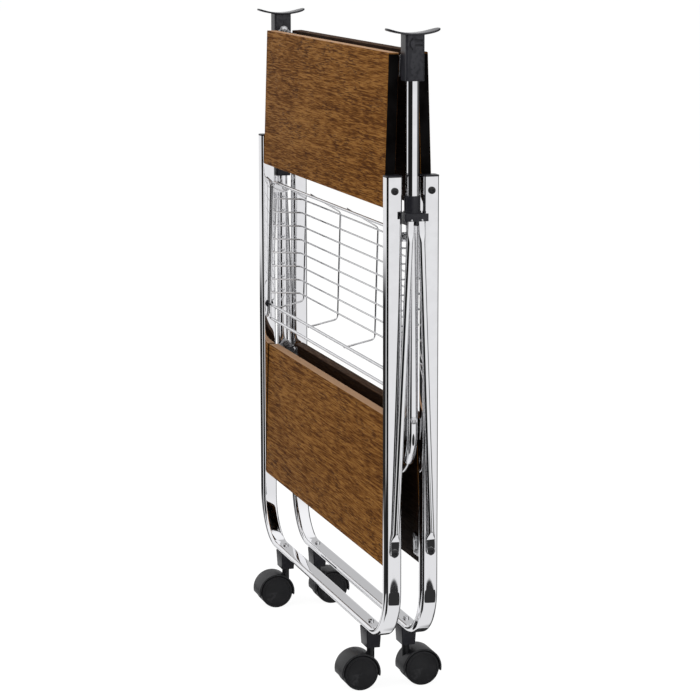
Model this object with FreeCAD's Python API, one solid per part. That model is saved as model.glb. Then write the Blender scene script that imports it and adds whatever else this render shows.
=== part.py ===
import FreeCAD, Part
import math
import os

V = FreeCAD.Vector
AXIS_X = V(1, 0, 0)
AXIS_Y = V(0, 1, 0)
AXIS_Z = V(0, 0, 1)

# A folding serving cart, folded. X runs along its length, Y across the fold, Z up from the floor.
# Two U frames stand front (-Y) and rear (+Y), and a centre frame that is lifted by two T handles
# slides up between them. Half shelves link the frames, so each shelf pivots at both its edges.
# All lengths are in millimetres and all angles in degrees.

# Overall layout
cart_length = 740.0
frame_height = 708.5
frame_half_gap = 28.4
link_rise_share = 0.282287
fold_angle = 88.2
tier_pitch_share = 0.381793
upper_pivot_below_top = 20.0

# Fits
running_clearance = 0.05
seat_clearance = 0.3
overrun = 2.0

# Front and rear U frames
frame_tube_width = 22.0
frame_tube_depth = 25.0
frame_tube_corner = 4.5
frame_tube_wall = 1.5
frame_bar_height = 10.0
frame_outer_bend = 86.0
frame_inner_bend = 70.0
plug_cap_thickness = 2.5
plug_cap_edge_share = 0.4
plug_depth = 14.0

# Centre frame
post_diameter = 19.0
post_wall = 1.5
post_outset = 5.0
post_bend_radius = 70.0
centre_bar_below_pivot = 87.0
post_above_pivot = 18.0

# Pivot screws
pivot_screw_diameter = 6.0
pivot_head_diameter = 11.0
pivot_head_height = 3.0
pivot_head_edge = 1.2
pivot_socket_width = 4.0
pivot_socket_depth = 1.6
pivot_nut_diameter = 10.0
pivot_nut_thickness = 3.0
pivot_tip_length = 6.0
spacer_diameter = 12.0

# Shelf boards
board_thickness = 16.5
board_end_gap = 4.0
board_overhang = 27.0
board_centre_gap = 0.8
board_corner_radius = 2.5
board_edge_radius = 0.8
end_strip_thickness = 1.5

# Shelf brackets
bracket_thickness = 2.0
bracket_reach = 30.0
outer_bracket_length = 32.0
inner_bracket_length = 30.0
ear_radius = 7.0
ear_gap = 0.5
ear_web_shares = ((0.97, 0.2), (-0.8, -0.6))
bracket_screw_pitch = 21.8
inner_screw_pitch = 18.0
inner_screw_setback = 10.0
bracket_screw_inset = 16.0
bracket_screw_diameter = 4.0
bracket_screw_length = 11.0
bracket_screw_head = 8.0
bracket_screw_head_height = 2.4
bracket_head_edge = 0.9

# T handles
handle_half_depth = 14.5
handle_below_pivot = 40.0
handle_above_pivot = 26.0
handle_corner_radius = 4.0
handle_socket_depth = 20.0
handle_plate_half_span = 41.0
handle_plate_half_width = 17.0
handle_plate_thickness = 3.0
handle_plate_rise = 7.5
handle_plate_edge = 1.2
handle_plate_corner = 15.0
handle_slot_depth = 1.6
handle_slot_length = 12.0
handle_slot_height = 3.2
handle_slot_pitch = 7.0
handle_slot_below_top = 9.0
handle_hook_radius = 9.0
handle_hook_width = 2.6

# Sliding junction on each post
slider_rivet_rise_share = 0.422724
slider_rivet_half_gap = 8.0
slider_collar_diameter = 24.0
slider_collar_above_rivet = 34.0
slider_flange_above_rivet = 9.5
slider_flange_below_rivet = 8.2
slider_flange_half_depth = 18.3
slider_body_half_depth = 12.5
slider_flange_corner = 3.0
slider_inner_reach = 12.5
slider_outer_reach = 17.0
slider_lip_thickness = 2.8
slider_lip_below_rivet = 1.5
slider_collar_ring_height = 2.0
slider_collar_ring_rise = 1.2
slider_web_half_depth = 1.4
rivet_head_diameter = 3.6
rivet_head_height = 1.0

# Struts
strut_diameter = 10.0
strut_round_share = 0.98
strut_flat_thickness = 3.0
strut_top_radius = 5.0
strut_bottom_radius = 7.5
strut_flat_edge_share = 0.45
strut_flat_bottom_length = 15.0
strut_flat_top_length = 18.0
strut_taper_length = 16.0

# Wire basket
rim_wire_diameter = 5.0
basket_wire_diameter = 3.0
basket_depth = 49.0
basket_rim_overhang = 23.5
basket_rim_past_pivot = 11.5
basket_end_clear = 5.0
basket_floor_outer = 9.0
basket_floor_inner_gap = 14.8
basket_floor_end_inset = 12.0
basket_rim_corner = 12.0
basket_wire_bend = 8.0
basket_weld_sink = 0.6
basket_long_wires = 8
basket_first_wire = 20.0
basket_last_wire_gap = 17.7
basket_cross_wires = 4
basket_cross_pitch_share = 0.281081
basket_wire_tip = 3.5
basket_ear_width = 14.0
basket_ear_proud = 1.0
basket_pin_head_height = 1.5
basket_bush_diameter = 14.0
basket_bush_flange = 1.4
basket_bush_sleeve = 8.0
basket_bush_length = 4.5

# Caster sockets and stems
caster_half_spacing_share = 0.337838
socket_height = 28.0
socket_top_length = 38.0
socket_top_depth = 24.0
socket_bottom_length = 34.0
socket_bottom_depth = 21.0
socket_top_corner = 2.4
socket_bottom_corner = 2.0
stem_diameter = 8.0
stem_head_diameter = 10.5
stem_head_height = 3.2
stem_head_edge_share = 0.4
stem_washer_diameter = 13.5
stem_washer_thickness = 1.6
stem_end_gap = 1.0

# Casters
wheel_diameter = 55.0
wheel_width = 19.0
wheel_edge_radius = 3.0
wheel_face_depth = 0.6
wheel_face_rim = 3.6
wheel_hub_radius = 8.0
caster_trail = 21.0
wheel_to_hood_gap = 1.0
hood_wall = 2.5
hood_to_socket_gap = 7.0
hood_web = 5.0
hood_below_axle = 6.0
hood_edge_radius = 1.2
hood_boss_diameter = 12.0
hood_boss_above_axle = 14.0
hood_boss_gap = 0.4
hood_bore_below_crown = 6.5
axle_diameter = 6.0
axle_wall = 2.5

# Sizes that follow the wheels and the frame, and places worked out from the sizes above
wheel_radius = wheel_diameter / 2
hood_cavity_diameter = wheel_diameter + 2 * wheel_to_hood_gap
hood_diameter = hood_cavity_diameter + 2 * hood_wall
hood_crown_z = wheel_radius + hood_diameter / 2
hood_boss_floor = hood_crown_z - hood_bore_below_crown
floor_to_frame = hood_crown_z + hood_to_socket_gap + socket_height
link_rise = frame_height * link_rise_share
tier_pitch = frame_height * tier_pitch_share
slider_rivet_rise = frame_height * slider_rivet_rise_share
basket_cross_pitch = cart_length * basket_cross_pitch_share
caster_half_spacing = cart_length * caster_half_spacing_share
frame_outer_x = cart_length / 2
frame_inner_x = frame_outer_x - frame_tube_width
frame_leg_x = frame_outer_x - frame_tube_width / 2
frame_top = floor_to_frame + frame_height
frame_bar_top = floor_to_frame + frame_bar_height
upper_pivot_z = frame_top - upper_pivot_below_top
basket_pivot_z = upper_pivot_z - tier_pitch
lower_pivot_z = basket_pivot_z - tier_pitch
tilt = math.radians(fold_angle)
link_along = frame_half_gap * math.cos(tilt) + link_rise * math.sin(tilt)
link_up = link_rise * math.cos(tilt) - frame_half_gap * math.sin(tilt)
board_end_x = frame_inner_x - board_end_gap
strip_end_x = board_end_x + end_strip_thickness
front_ear_x = strip_end_x
rear_ear_x = strip_end_x + bracket_thickness + ear_gap
post_x = frame_outer_x - post_outset
post_radius = post_diameter / 2
post_inner_x = post_x - post_radius
post_outer_x = post_x + post_radius
handle_inner_x = rear_ear_x + bracket_thickness + seat_clearance * 2
handle_outer_x = 2 * post_x - handle_inner_x
slider_face_x = post_x + slider_outer_reach
strut_top_x = slider_face_x + seat_clearance
strut_bottom_x = frame_outer_x + seat_clearance
rivet_z = lower_pivot_z + slider_rivet_rise + link_rise
screw_radius = pivot_screw_diameter / 2
screw_hole = screw_radius + running_clearance
boss_top = floor_to_frame - socket_height - stem_washer_thickness - hood_boss_gap
PIVOT_Z = {"upper": upper_pivot_z, "basket": basket_pivot_z, "lower": lower_pivot_z}


def block(x0, x1, y0, y1, z0, z1):
    """A box between two corners given in any order."""
    low = V(min(x0, x1), min(y0, y1), min(z0, z1))
    return Part.makeBox(abs(x1 - x0), abs(y1 - y0), abs(z1 - z0), low)


def rod_x(x0, x1, y, z, radius):
    """A round rod along X."""
    return Part.makeCylinder(radius, abs(x1 - x0), V(min(x0, x1), y, z), AXIS_X)


def rod_z(x, y, z0, z1, radius):
    """A round rod along Z."""
    return Part.makeCylinder(radius, abs(z1 - z0), V(x, y, min(z0, z1)), AXIS_Z)


def rounded_outline(half_x, half_y, radius, centre):
    """A closed rounded rectangle in the XY plane."""
    cx, cy, cz = centre.x, centre.y, centre.z
    edges = []
    corners = ((1, 1, 0), (-1, 1, 90), (-1, -1, 180), (1, -1, 270))
    ends = []
    for sx, sy, start in corners:
        middle = V(cx + sx * (half_x - radius), cy + sy * (half_y - radius), cz)
        arc = Part.ArcOfCircle(Part.Circle(middle, AXIS_Z, radius),
                               math.radians(start), math.radians(start + 90))
        edges.append(arc.toShape())
        ends.append((arc.StartPoint, arc.EndPoint))
    for index in range(len(ends)):
        following = ends[(index + 1) % len(ends)]
        edges.append(Part.LineSegment(ends[index][1], following[0]).toShape())
    return Part.Wire(Part.__sortEdges__(edges))


def disc_outline(radius, centre, normal):
    """A closed circle."""
    return Part.Wire([Part.makeCircle(radius, centre, normal)])


def ring_face(outer, inner):
    """The face between an outer and an inner outline."""
    return Part.Face(outer).cut(Part.Face(inner)).Faces[0]


def round_edges(solid, radius, keep):
    """Fillet the edges that the test keeps."""
    edges = [edge for edge in solid.Edges if keep(edge)]
    return solid.makeFillet(radius, edges)


def edge_along(edge, axis):
    """True for a straight edge that runs along an axis."""
    if len(edge.Vertexes) < 2:
        return False
    run = edge.Vertexes[1].Point.sub(edge.Vertexes[0].Point)
    return run.Length > 0 and abs(run.normalize().dot(axis)) > 0.999


def mirrored_x(solid):
    """The mirror image at the other end."""
    return solid.mirror(V(0, 0, 0), AXIS_X)


def mirrored_y(solid):
    """The mirror image on the other side of the fold."""
    return solid.mirror(V(0, 0, 0), AXIS_Y)


def both_ends(solid):
    """A piece at the +X end and its mirror image at the -X end."""
    return [solid, mirrored_x(solid)]


def merged(solids):
    """One solid from pieces that meet."""
    whole = solids[0].fuse(solids[1:])
    return whole.removeSplitter()


def folded(solid, pivot_z):
    """Turn a shelf drawn level, with its outer pivot at the origin, into its folded place."""
    placed = solid.copy()
    placed.rotate(V(0, 0, 0), AXIS_X, fold_angle)
    placed.translate(V(0, -frame_half_gap, pivot_z))
    return placed


def write(name, pieces):
    """Write one node, alone or as a group of separate solids."""
    shape = pieces[0] if len(pieces) == 1 else Part.makeCompound(pieces)
    shape.exportStep("parts/" + name + ".step")


# Tube frames

def u_tube(section, half_x, top_z, bar_z, radius):
    """Sweep a section, drawn level at the top of the left leg, down, along and up again."""
    bend_z = bar_z + radius
    leg = section.extrude(V(0, 0, bend_z - top_z))
    low_section = section.copy()
    low_section.translate(V(0, 0, bend_z - top_z))
    pivot = V(radius - half_x, 0, bend_z)
    bend = low_section.revolve(pivot, AXIS_Y, -90)
    bar_section = low_section.copy()
    bar_section.rotate(pivot, AXIS_Y, -90)
    bar = bar_section.extrude(V(half_x - radius, 0, 0))
    half = merged([leg, bend, bar])
    return merged([half, mirrored_x(half)])


def u_slab(half_x, half_y, low_z, high_z, radius):
    """An upright slab with its two lower ends rounded."""
    slab = block(-half_x, half_x, -half_y, half_y, low_z, high_z)
    return round_edges(slab, radius, lambda edge: edge_along(edge, AXIS_Y) and edge.BoundBox.ZMax < high_z)


def frame_bar(shrink, high_z):
    """A solid U, its bar flatter than its legs, narrowed all round."""
    half_y = frame_tube_depth / 2 - shrink
    outer = u_slab(frame_outer_x - shrink, half_y, floor_to_frame + shrink, high_z, frame_outer_bend - shrink)
    inner = u_slab(frame_inner_x + shrink, half_y + overrun, frame_bar_top - shrink, high_z + overrun,
                   frame_inner_bend + shrink)
    return round_edges(outer.cut(inner), frame_tube_corner - shrink,
                       lambda edge: edge.BoundBox.YLength < frame_tube_wall
                       and edge.BoundBox.ZMin < high_z - frame_tube_wall)


def frame_tube(with_basket):
    """The front U frame, with its pivot and caster holes."""
    y = -frame_half_gap
    tube = frame_bar(0, frame_top).cut(frame_bar(frame_tube_wall, frame_top + overrun))
    tube.translate(V(0, y, 0))
    holes = []
    for name in ("upper", "lower"):
        holes.append(rod_x(-frame_outer_x - overrun, frame_outer_x + overrun, y, PIVOT_Z[name], screw_hole))
    for x in (-caster_half_spacing, caster_half_spacing):
        low = floor_to_frame - overrun
        high = frame_bar_top + overrun
        holes.append(rod_z(x, y, low, high, stem_diameter / 2 + running_clearance))
    if with_basket:
        reach = frame_inner_x + frame_tube_width / 2
        holes.append(rod_x(-reach, reach, y, basket_pivot_z, basket_bush_sleeve / 2 + running_clearance))
    return tube.cut(holes)


def frame_plug():
    """A black plug in the open top of a leg."""
    y = -frame_half_gap
    half_x = frame_tube_width / 2
    half_y = frame_tube_depth / 2
    cap_outline = rounded_outline(half_x, half_y, frame_tube_corner, V(frame_leg_x, y, frame_top))
    cap = Part.Face(cap_outline).extrude(V(0, 0, plug_cap_thickness))
    crown = plug_cap_thickness * plug_cap_edge_share
    cap = round_edges(cap, crown, lambda edge: edge.BoundBox.ZMin > frame_top + crown)
    shrink = frame_tube_wall + running_clearance
    body_outline = rounded_outline(half_x - shrink, half_y - shrink,
                                   frame_tube_corner - frame_tube_wall, V(frame_leg_x, y, frame_top))
    body = Part.Face(body_outline).extrude(V(0, 0, -plug_depth))
    plug = merged([cap, body])
    clear = rod_x(frame_inner_x, frame_outer_x, y, upper_pivot_z, pivot_head_diameter / 2)
    return plug.cut(clear)


# Screws

def hex_prism(width, x0, x1, y, z):
    """A hexagonal prism along X, given its width across flats."""
    radius = width / math.sqrt(3)
    points = []
    for corner in range(7):
        angle = math.radians(60 * corner)
        points.append(V(x0, y + radius * math.cos(angle), z + radius * math.sin(angle)))
    return Part.Face(Part.makePolygon(points)).extrude(V(x1 - x0, 0, 0))


def screw_head(x, y, z, outward=1):
    """A round head with a hexagon socket, standing out from x along X."""
    tip = x + outward * pivot_head_height
    head = rod_x(x, tip, y, z, pivot_head_diameter / 2)
    head = round_edges(head, pivot_head_edge,
                       lambda edge: abs(edge.BoundBox.XMin - tip) < pivot_head_edge / 2
                       and edge.BoundBox.XLength < pivot_head_edge / 2)
    socket = hex_prism(pivot_socket_width, tip - outward * pivot_socket_depth, tip + outward * overrun, y, z)
    return head.cut(socket)


def outer_screw(pivot_z, seat_x):
    """The screw through a front leg into the end of a shelf, with its head at seat_x."""
    y = -frame_half_gap
    tip_x = board_end_x - pivot_tip_length
    shank = rod_x(tip_x, seat_x, y, pivot_z, screw_radius)
    return merged([shank, screw_head(seat_x, y, pivot_z)])


def lower_centre_screw():
    """The screw through a post, with its head outside and a nut inside the bracket ears."""
    z = lower_pivot_z + link_rise
    nut_x = front_ear_x - seat_clearance
    shank = rod_x(nut_x - pivot_nut_thickness, post_outer_x, 0, z, screw_radius)
    nut = hex_prism(pivot_nut_diameter, nut_x - pivot_nut_thickness, nut_x, 0, z)
    return merged([shank, nut, screw_head(post_outer_x, 0, z)])


def upper_centre_screw():
    """The shoulder screw that holds both upper shelf ears to the handle block."""
    z = upper_pivot_z + link_rise
    head_x = front_ear_x - seat_clearance
    shank = rod_x(head_x, post_x, 0, z, screw_radius)
    return merged([shank, screw_head(head_x, 0, z, -1)])


def centre_spacer():
    """The bush between the outer ear and the post at the lower pivot."""
    z = lower_pivot_z + link_rise
    start = rear_ear_x + bracket_thickness + seat_clearance
    sleeve = rod_x(start, post_inner_x + post_wall, 0, z, spacer_diameter / 2)
    post = rod_z(post_x, 0, z - spacer_diameter, z + spacer_diameter, post_radius)
    bore = rod_x(start - overrun, post_x, 0, z, screw_hole)
    return sleeve.cut([post, bore])


# Centre frame

def centre_tube():
    """The centre U frame of round tube, with its pivot holes."""
    top_z = upper_pivot_z + link_rise + post_above_pivot
    bar_z = lower_pivot_z + link_rise - centre_bar_below_pivot
    centre = V(-post_x, 0, top_z)
    section = ring_face(disc_outline(post_radius, centre, AXIS_Z),
                        disc_outline(post_radius - post_wall, centre, AXIS_Z))
    tube = u_tube(section, post_x, top_z, bar_z, post_bend_radius)
    holes = []
    for pivot_z, reach in ((lower_pivot_z, overrun), (upper_pivot_z, -post_radius),
                           (basket_pivot_z, -post_radius)):
        span = post_outer_x + reach
        holes.append(rod_x(-span, span, 0, pivot_z + link_rise, screw_hole))
    return tube.cut(holes)


def handle_block():
    """The moulded block on top of a post, with a socket under it for the sliding collar."""
    pivot_z = upper_pivot_z + link_rise
    low = pivot_z - handle_below_pivot
    high = pivot_z + handle_above_pivot + handle_plate_rise
    body = block(handle_inner_x, handle_outer_x, -handle_half_depth, handle_half_depth, low, high)
    body = round_edges(body, handle_corner_radius, lambda edge: edge_along(edge, AXIS_Z))
    post_top = pivot_z + post_above_pivot
    socket_radius = slider_collar_diameter / 2 + seat_clearance + running_clearance
    cuts = [
        rod_z(post_x, 0, low - overrun, post_top, post_radius + running_clearance),
        rod_z(post_x, 0, low - overrun, low + handle_socket_depth, socket_radius),
        rod_x(handle_inner_x - overrun, post_x, 0, pivot_z, screw_hole),
        plate_envelope(),
    ]
    cuts.extend(handle_slots())
    return body.cut(cuts)


def handle_slots():
    """The two slots and the curved groove moulded in the outer face of the block."""
    floor_x = handle_outer_x - handle_slot_depth
    top_slot_z = upper_pivot_z + link_rise + handle_above_pivot - handle_slot_below_top
    start_y = handle_half_depth - handle_corner_radius - handle_slot_length
    slots = []
    for index in range(2):
        z = top_slot_z - index * handle_slot_pitch
        slots.append(block(floor_x, handle_outer_x + overrun, start_y, start_y + handle_slot_length,
                           z, z + handle_slot_height))
    centre_z = top_slot_z - handle_slot_pitch / 2
    ring = rod_x(floor_x, handle_outer_x + overrun, start_y, centre_z, handle_hook_radius)
    core_radius = handle_hook_radius - handle_hook_width
    core = rod_x(floor_x, handle_outer_x + overrun, start_y, centre_z, core_radius)
    keep = block(floor_x, handle_outer_x + overrun, start_y - handle_hook_radius, start_y - handle_hook_width,
                 centre_z - handle_hook_radius, centre_z + handle_hook_radius)
    slots.append(ring.cut(core).common(keep))
    return slots


def plate_radius():
    """Radius of the plate's upper face, from its half span and rise."""
    return (handle_plate_half_span ** 2 + handle_plate_rise ** 2) / (2 * handle_plate_rise)


def plate_envelope():
    """Everything above the underside of the handle plate."""
    seat_z = upper_pivot_z + link_rise + handle_above_pivot
    radius = plate_radius() + handle_plate_thickness
    return rod_x(post_x - 2 * handle_plate_half_width, post_x + 2 * handle_plate_half_width,
                 0, seat_z + radius, radius)


def handle_plate():
    """The curved plate of a T handle, its ends turned up."""
    seat_z = upper_pivot_z + link_rise + handle_above_pivot
    top_z = seat_z + handle_plate_rise + 2 * handle_plate_thickness
    outline = rounded_outline(handle_plate_half_width, handle_plate_half_span, handle_plate_corner,
                              V(post_x, 0, seat_z - overrun))
    slab = Part.Face(outline).extrude(V(0, 0, top_z - seat_z + overrun))
    hollow = rod_x(post_x - 2 * handle_plate_half_width, post_x + 2 * handle_plate_half_width,
                   0, seat_z + handle_plate_thickness + plate_radius(), plate_radius())
    plate = slab.common(plate_envelope()).cut(hollow)
    return plate.makeFillet(handle_plate_edge, plate.Edges)


# Sliding junctions and struts

def slider():
    """The block that slides on a post: a collar above a flange with two slots for the struts."""
    low = rivet_z - slider_flange_below_rivet
    high = rivet_z + slider_flange_above_rivet
    outer_x = strut_top_x + strut_flat_thickness + seat_clearance + slider_lip_thickness
    slot_end = outer_x - slider_lip_thickness
    flange = block(slider_face_x, outer_x, -slider_flange_half_depth, slider_flange_half_depth, low, high)
    flange = round_edges(flange, slider_lip_thickness, lambda edge: edge_along(edge, AXIS_Z))
    base = block(post_x - slider_inner_reach, slot_end, -slider_body_half_depth, slider_body_half_depth,
                 low, high)
    base = round_edges(base, slider_flange_corner, lambda edge: edge_along(edge, AXIS_Z))
    collar_top = rivet_z + slider_collar_above_rivet
    collar_radius = slider_collar_diameter / 2
    collar = rod_z(post_x, 0, low, collar_top, collar_radius)
    ring = rod_z(post_x, 0, high, high + slider_collar_ring_height, collar_radius + slider_collar_ring_rise)
    body = merged([flange, base, collar, ring])
    slot_top = rivet_z + strut_top_radius + seat_clearance
    slots = []
    for side in (-1, 1):
        slots.append(block(slider_face_x, slot_end, side * slider_web_half_depth,
                           side * (slider_flange_half_depth + overrun), low - overrun, slot_top))
        slots.append(block(slot_end - seat_clearance, outer_x + overrun, side * slider_web_half_depth,
                           side * (slider_flange_half_depth + overrun), low - overrun,
                           rivet_z - slider_lip_below_rivet))
    bore = rod_z(post_x, 0, low - overrun, collar_top + overrun, post_radius + running_clearance)
    return body.cut(slots + [bore])


def slider_rivets():
    """Two small rivet heads on the lip over the strut ends."""
    seat_x = strut_top_x + strut_flat_thickness + seat_clearance + slider_lip_thickness
    heads = []
    for side in (-1, 1):
        heads.append(rod_x(seat_x, seat_x + rivet_head_height, side * slider_rivet_half_gap,
                           rivet_z, rivet_head_diameter / 2))
    return heads


def strut_flat(x0, z0, z1, radius, y, pivot_z):
    """A flattened strut end: an eye about its pivot and a tongue towards the tube."""
    eye = rod_x(x0, x0 + strut_flat_thickness, y, pivot_z, radius)
    tongue = block(x0, x0 + strut_flat_thickness, y - radius, y + radius, z0, z1)
    return [eye, tongue]


def strut_outline(centre):
    """The nearly round outline of a strut's tube."""
    radius = strut_diameter / 2
    return rounded_outline(radius, radius, radius * strut_round_share, centre)


def strut_taper(x0, z_flat, x_tube, z_tube, radius, y):
    """A loft from the flat section to the round tube."""
    middle_x = x0 + strut_flat_thickness / 2
    small = strut_flat_thickness * strut_flat_edge_share
    flat_outline = rounded_outline(strut_flat_thickness / 2, radius, small, V(middle_x, y, z_flat))
    return Part.makeLoft([flat_outline, strut_outline(V(x_tube, y, z_tube))], True, True)


def strut():
    """A front strut at the +X end, drawn upright over its lower pivot and then leaned."""
    y = -frame_half_gap
    lean_y = frame_half_gap - slider_rivet_half_gap
    rise = rivet_z - lower_pivot_z
    length = math.hypot(lean_y, rise)
    top_z = lower_pivot_z + length
    flat_low = lower_pivot_z + strut_flat_bottom_length
    flat_high = top_z - strut_flat_top_length
    low_x = strut_bottom_x + strut_diameter / 2 + seat_clearance
    high_x = strut_top_x
    tube_low = flat_low + strut_taper_length
    tube_high = flat_high - strut_taper_length
    pieces = strut_flat(strut_bottom_x, lower_pivot_z, flat_low, strut_bottom_radius, y, lower_pivot_z)
    pieces += strut_flat(strut_top_x, flat_high, top_z, strut_top_radius, y, top_z)
    pieces.append(strut_taper(strut_bottom_x, flat_low, low_x, tube_low, strut_bottom_radius, y))
    pieces.append(strut_taper(strut_top_x, flat_high, high_x, tube_high, strut_top_radius, y))
    ends = [strut_outline(V(low_x, y, tube_low)), strut_outline(V(high_x, y, tube_high))]
    pieces.append(Part.makeLoft(ends, True, True))
    whole = merged(pieces)
    hole = rod_x(strut_bottom_x - overrun, strut_bottom_x + strut_flat_thickness + overrun,
                 y, lower_pivot_z, screw_hole)
    whole = whole.cut(hole)
    whole.rotate(V(0, y, lower_pivot_z), AXIS_X, -math.degrees(math.atan2(lean_y, rise)))
    return whole


# Shelves

def shelf_screw_places():
    """Where the bracket screws enter a board, the outer bracket first: (x, along)."""
    x = frame_inner_x - bracket_screw_inset
    half = bracket_screw_pitch / 2
    last = link_along - inner_screw_setback
    return [(x, -half), (x, half), (x, last), (x, last - inner_screw_pitch)]


def shelf_board():
    """A laminated half shelf, drawn level with its outer pivot at the origin."""
    half = board_thickness / 2
    inner_edge = link_along - board_centre_gap
    board = block(-board_end_x, board_end_x, -board_overhang, inner_edge, -half, half)
    board = round_edges(board, board_corner_radius, lambda edge: edge_along(edge, AXIS_Z))
    board = round_edges(board, board_edge_radius,
                        lambda edge: edge_along(edge, AXIS_X) and edge.Length > board_end_x)
    cuts = []
    for side in (-1, 1):
        cuts.append(rod_x(side * (board_end_x - pivot_tip_length - seat_clearance),
                          side * (board_end_x + overrun), 0, 0, screw_radius + seat_clearance))
    radius = bracket_screw_diameter / 2 + running_clearance
    for x, along in shelf_screw_places():
        for side in (-1, 1):
            cuts.append(rod_z(side * x, along, -half - overrun, bracket_screw_length - half, radius))
    return board.cut(cuts)


def end_strip():
    """The black edging on the +X end of a board."""
    half = board_thickness / 2 - board_edge_radius
    inner_edge = link_along - board_centre_gap
    strip = block(board_end_x, strip_end_x, board_corner_radius - board_overhang,
                  inner_edge - board_corner_radius, -half, half)
    hole = rod_x(board_end_x - overrun, strip_end_x + overrun, 0, 0, screw_radius + seat_clearance)
    return strip.cut(hole)


def plate_screw_holes(places, low, high):
    """Holes for bracket screws at (x, along) places."""
    radius = bracket_screw_diameter / 2 + running_clearance
    return [rod_z(x, along, low, high, radius) for x, along in places]


def outer_bracket():
    """The angle bracket that carries a board on its outer pivot."""
    under = -board_thickness / 2
    plate_low = under - bracket_thickness
    half = outer_bracket_length / 2
    ear_end = strip_end_x + bracket_thickness
    plate = block(frame_inner_x - bracket_reach, ear_end, -half, half, plate_low, under)
    ear_eye = rod_x(strip_end_x, ear_end, 0, 0, ear_radius)
    ear_neck = block(strip_end_x, ear_end, -ear_radius, ear_radius, plate_low, 0)
    bore = rod_x(strip_end_x - overrun, ear_end + overrun, 0, 0, screw_hole)
    holes = plate_screw_holes(shelf_screw_places()[:2], plate_low - overrun, under + overrun)
    return merged([plate, ear_eye, ear_neck]).cut(holes + [bore])


def inner_bracket(ear_x):
    """The angle bracket that hangs a board on the centre frame's pivot."""
    under = -board_thickness / 2
    plate_low = under - bracket_thickness
    plate_end = link_along - inner_screw_setback / 2
    ear_end = ear_x + bracket_thickness
    plate = block(frame_inner_x - bracket_reach, ear_end, plate_end - inner_bracket_length, plate_end,
                  plate_low, under)
    ear_eye = rod_x(ear_x, ear_end, link_along, link_up, ear_radius)
    corners = [V(ear_x, plate_end - inner_bracket_length, under),
               V(ear_x, plate_end, under)]
    for along_share, up_share in ear_web_shares:
        corners.append(V(ear_x, link_along + ear_radius * along_share, link_up + ear_radius * up_share))
    ear_web = Part.Face(Part.makePolygon(corners + [corners[0]])).extrude(V(bracket_thickness, 0, 0))
    bore = rod_x(ear_x - overrun, ear_end + overrun, link_along, link_up, screw_hole)
    holes = plate_screw_holes(shelf_screw_places()[2:], plate_low - overrun, under + overrun)
    return merged([plate, ear_eye, ear_web]).cut(holes + [bore])


def bracket_screw(x, along):
    """A pan-headed screw up through a bracket plate into a board."""
    seat = -board_thickness / 2 - bracket_thickness
    head = rod_z(x, along, seat - bracket_screw_head_height, seat, bracket_screw_head / 2)
    head = round_edges(head, bracket_head_edge,
                       lambda edge: edge.BoundBox.ZMax < seat - bracket_screw_head_height / 2)
    shank = rod_z(x, along, seat, bracket_screw_length - board_thickness / 2, bracket_screw_diameter / 2)
    return merged([head, shank])


def shelf_pieces(ear_x):
    """All pieces of one half shelf by name, drawn level with the outer pivot at the origin."""
    screws = []
    for x, along in shelf_screw_places():
        screws.extend(both_ends(bracket_screw(x, along)))
    return {
        "board": [shelf_board()],
        "end_strips": both_ends(end_strip()),
        "brackets": both_ends(outer_bracket()) + both_ends(inner_bracket(ear_x)),
        "bracket_screws": screws,
    }


# Wire basket

def wire_run(points, bend, radius):
    """A bent wire: straight rods joined by tangent bends of one radius."""
    solids = []
    start = points[0]
    for index in range(1, len(points) - 1):
        corner = points[index]
        arrive = corner.sub(points[index - 1]).normalize()
        leave = points[index + 1].sub(corner).normalize()
        turn = arrive.getAngle(leave)
        setback = bend * math.tan(turn / 2)
        bend_start = corner.sub(V(arrive).multiply(setback))
        bend_end = corner.add(V(leave).multiply(setback))
        normal = arrive.cross(leave).normalize()
        centre = bend_start.add(normal.cross(arrive).multiply(bend))
        solids.append(straight_wire(start, bend_start, radius))
        section = Part.Face(disc_outline(radius, bend_start, arrive))
        solids.append(section.revolve(centre, normal, math.degrees(turn)))
        start = bend_end
    solids.append(straight_wire(start, points[-1], radius))
    return solids


def straight_wire(start, end, radius):
    """A straight rod between two points."""
    run = end.sub(start)
    return Part.makeCylinder(radius, run.Length, start, run)


def basket():
    """The welded wire basket, drawn level with its outer pivot at the origin."""
    rim = rim_wire_diameter / 2
    wire = basket_wire_diameter / 2
    end_x = frame_inner_x - basket_end_clear
    inner = link_along + basket_rim_past_pivot
    outer = -basket_rim_overhang
    solids = []
    half_loop = [V(0, outer, 0), V(end_x, outer, 0), V(end_x, inner, 0), V(0, inner, 0)]
    loop = wire_run(half_loop, basket_rim_corner, rim)
    solids.extend(loop)
    solids.extend([mirrored_x(piece) for piece in loop])
    floor_x = end_x - basket_floor_end_inset
    last_wire = link_along - basket_last_wire_gap
    pitch = (last_wire - basket_first_wire) / (basket_long_wires - 1)
    for index in range(basket_long_wires):
        along = basket_first_wire + index * pitch
        points = [V(-end_x, along, 0), V(-floor_x, along, -basket_depth),
                  V(floor_x, along, -basket_depth), V(end_x, along, 0)]
        solids.extend(wire_run(points, basket_wire_bend, wire))
    under = -basket_depth - basket_wire_diameter + basket_weld_sink
    for index in range(basket_cross_wires):
        x = (index - (basket_cross_wires - 1) / 2) * basket_cross_pitch
        points = [V(x, -basket_wire_tip, 0), V(x, basket_floor_outer, under),
                  V(x, link_along - basket_floor_inner_gap, under), V(x, inner + basket_wire_tip, 0)]
        solids.extend(wire_run(points, basket_wire_bend, wire))
    axle_end = frame_inner_x + frame_tube_wall + basket_bush_length / 2
    solids.append(rod_x(-axle_end, axle_end, 0, 0, rim))
    for side in (-1, 1):
        solids.append(basket_ear(side, end_x))
    whole = solids[0].multiFuse(solids[1:])
    bore = rod_x(-frame_inner_x, frame_inner_x, link_along, link_up, screw_hole)
    return whole.cut(bore)


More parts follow.
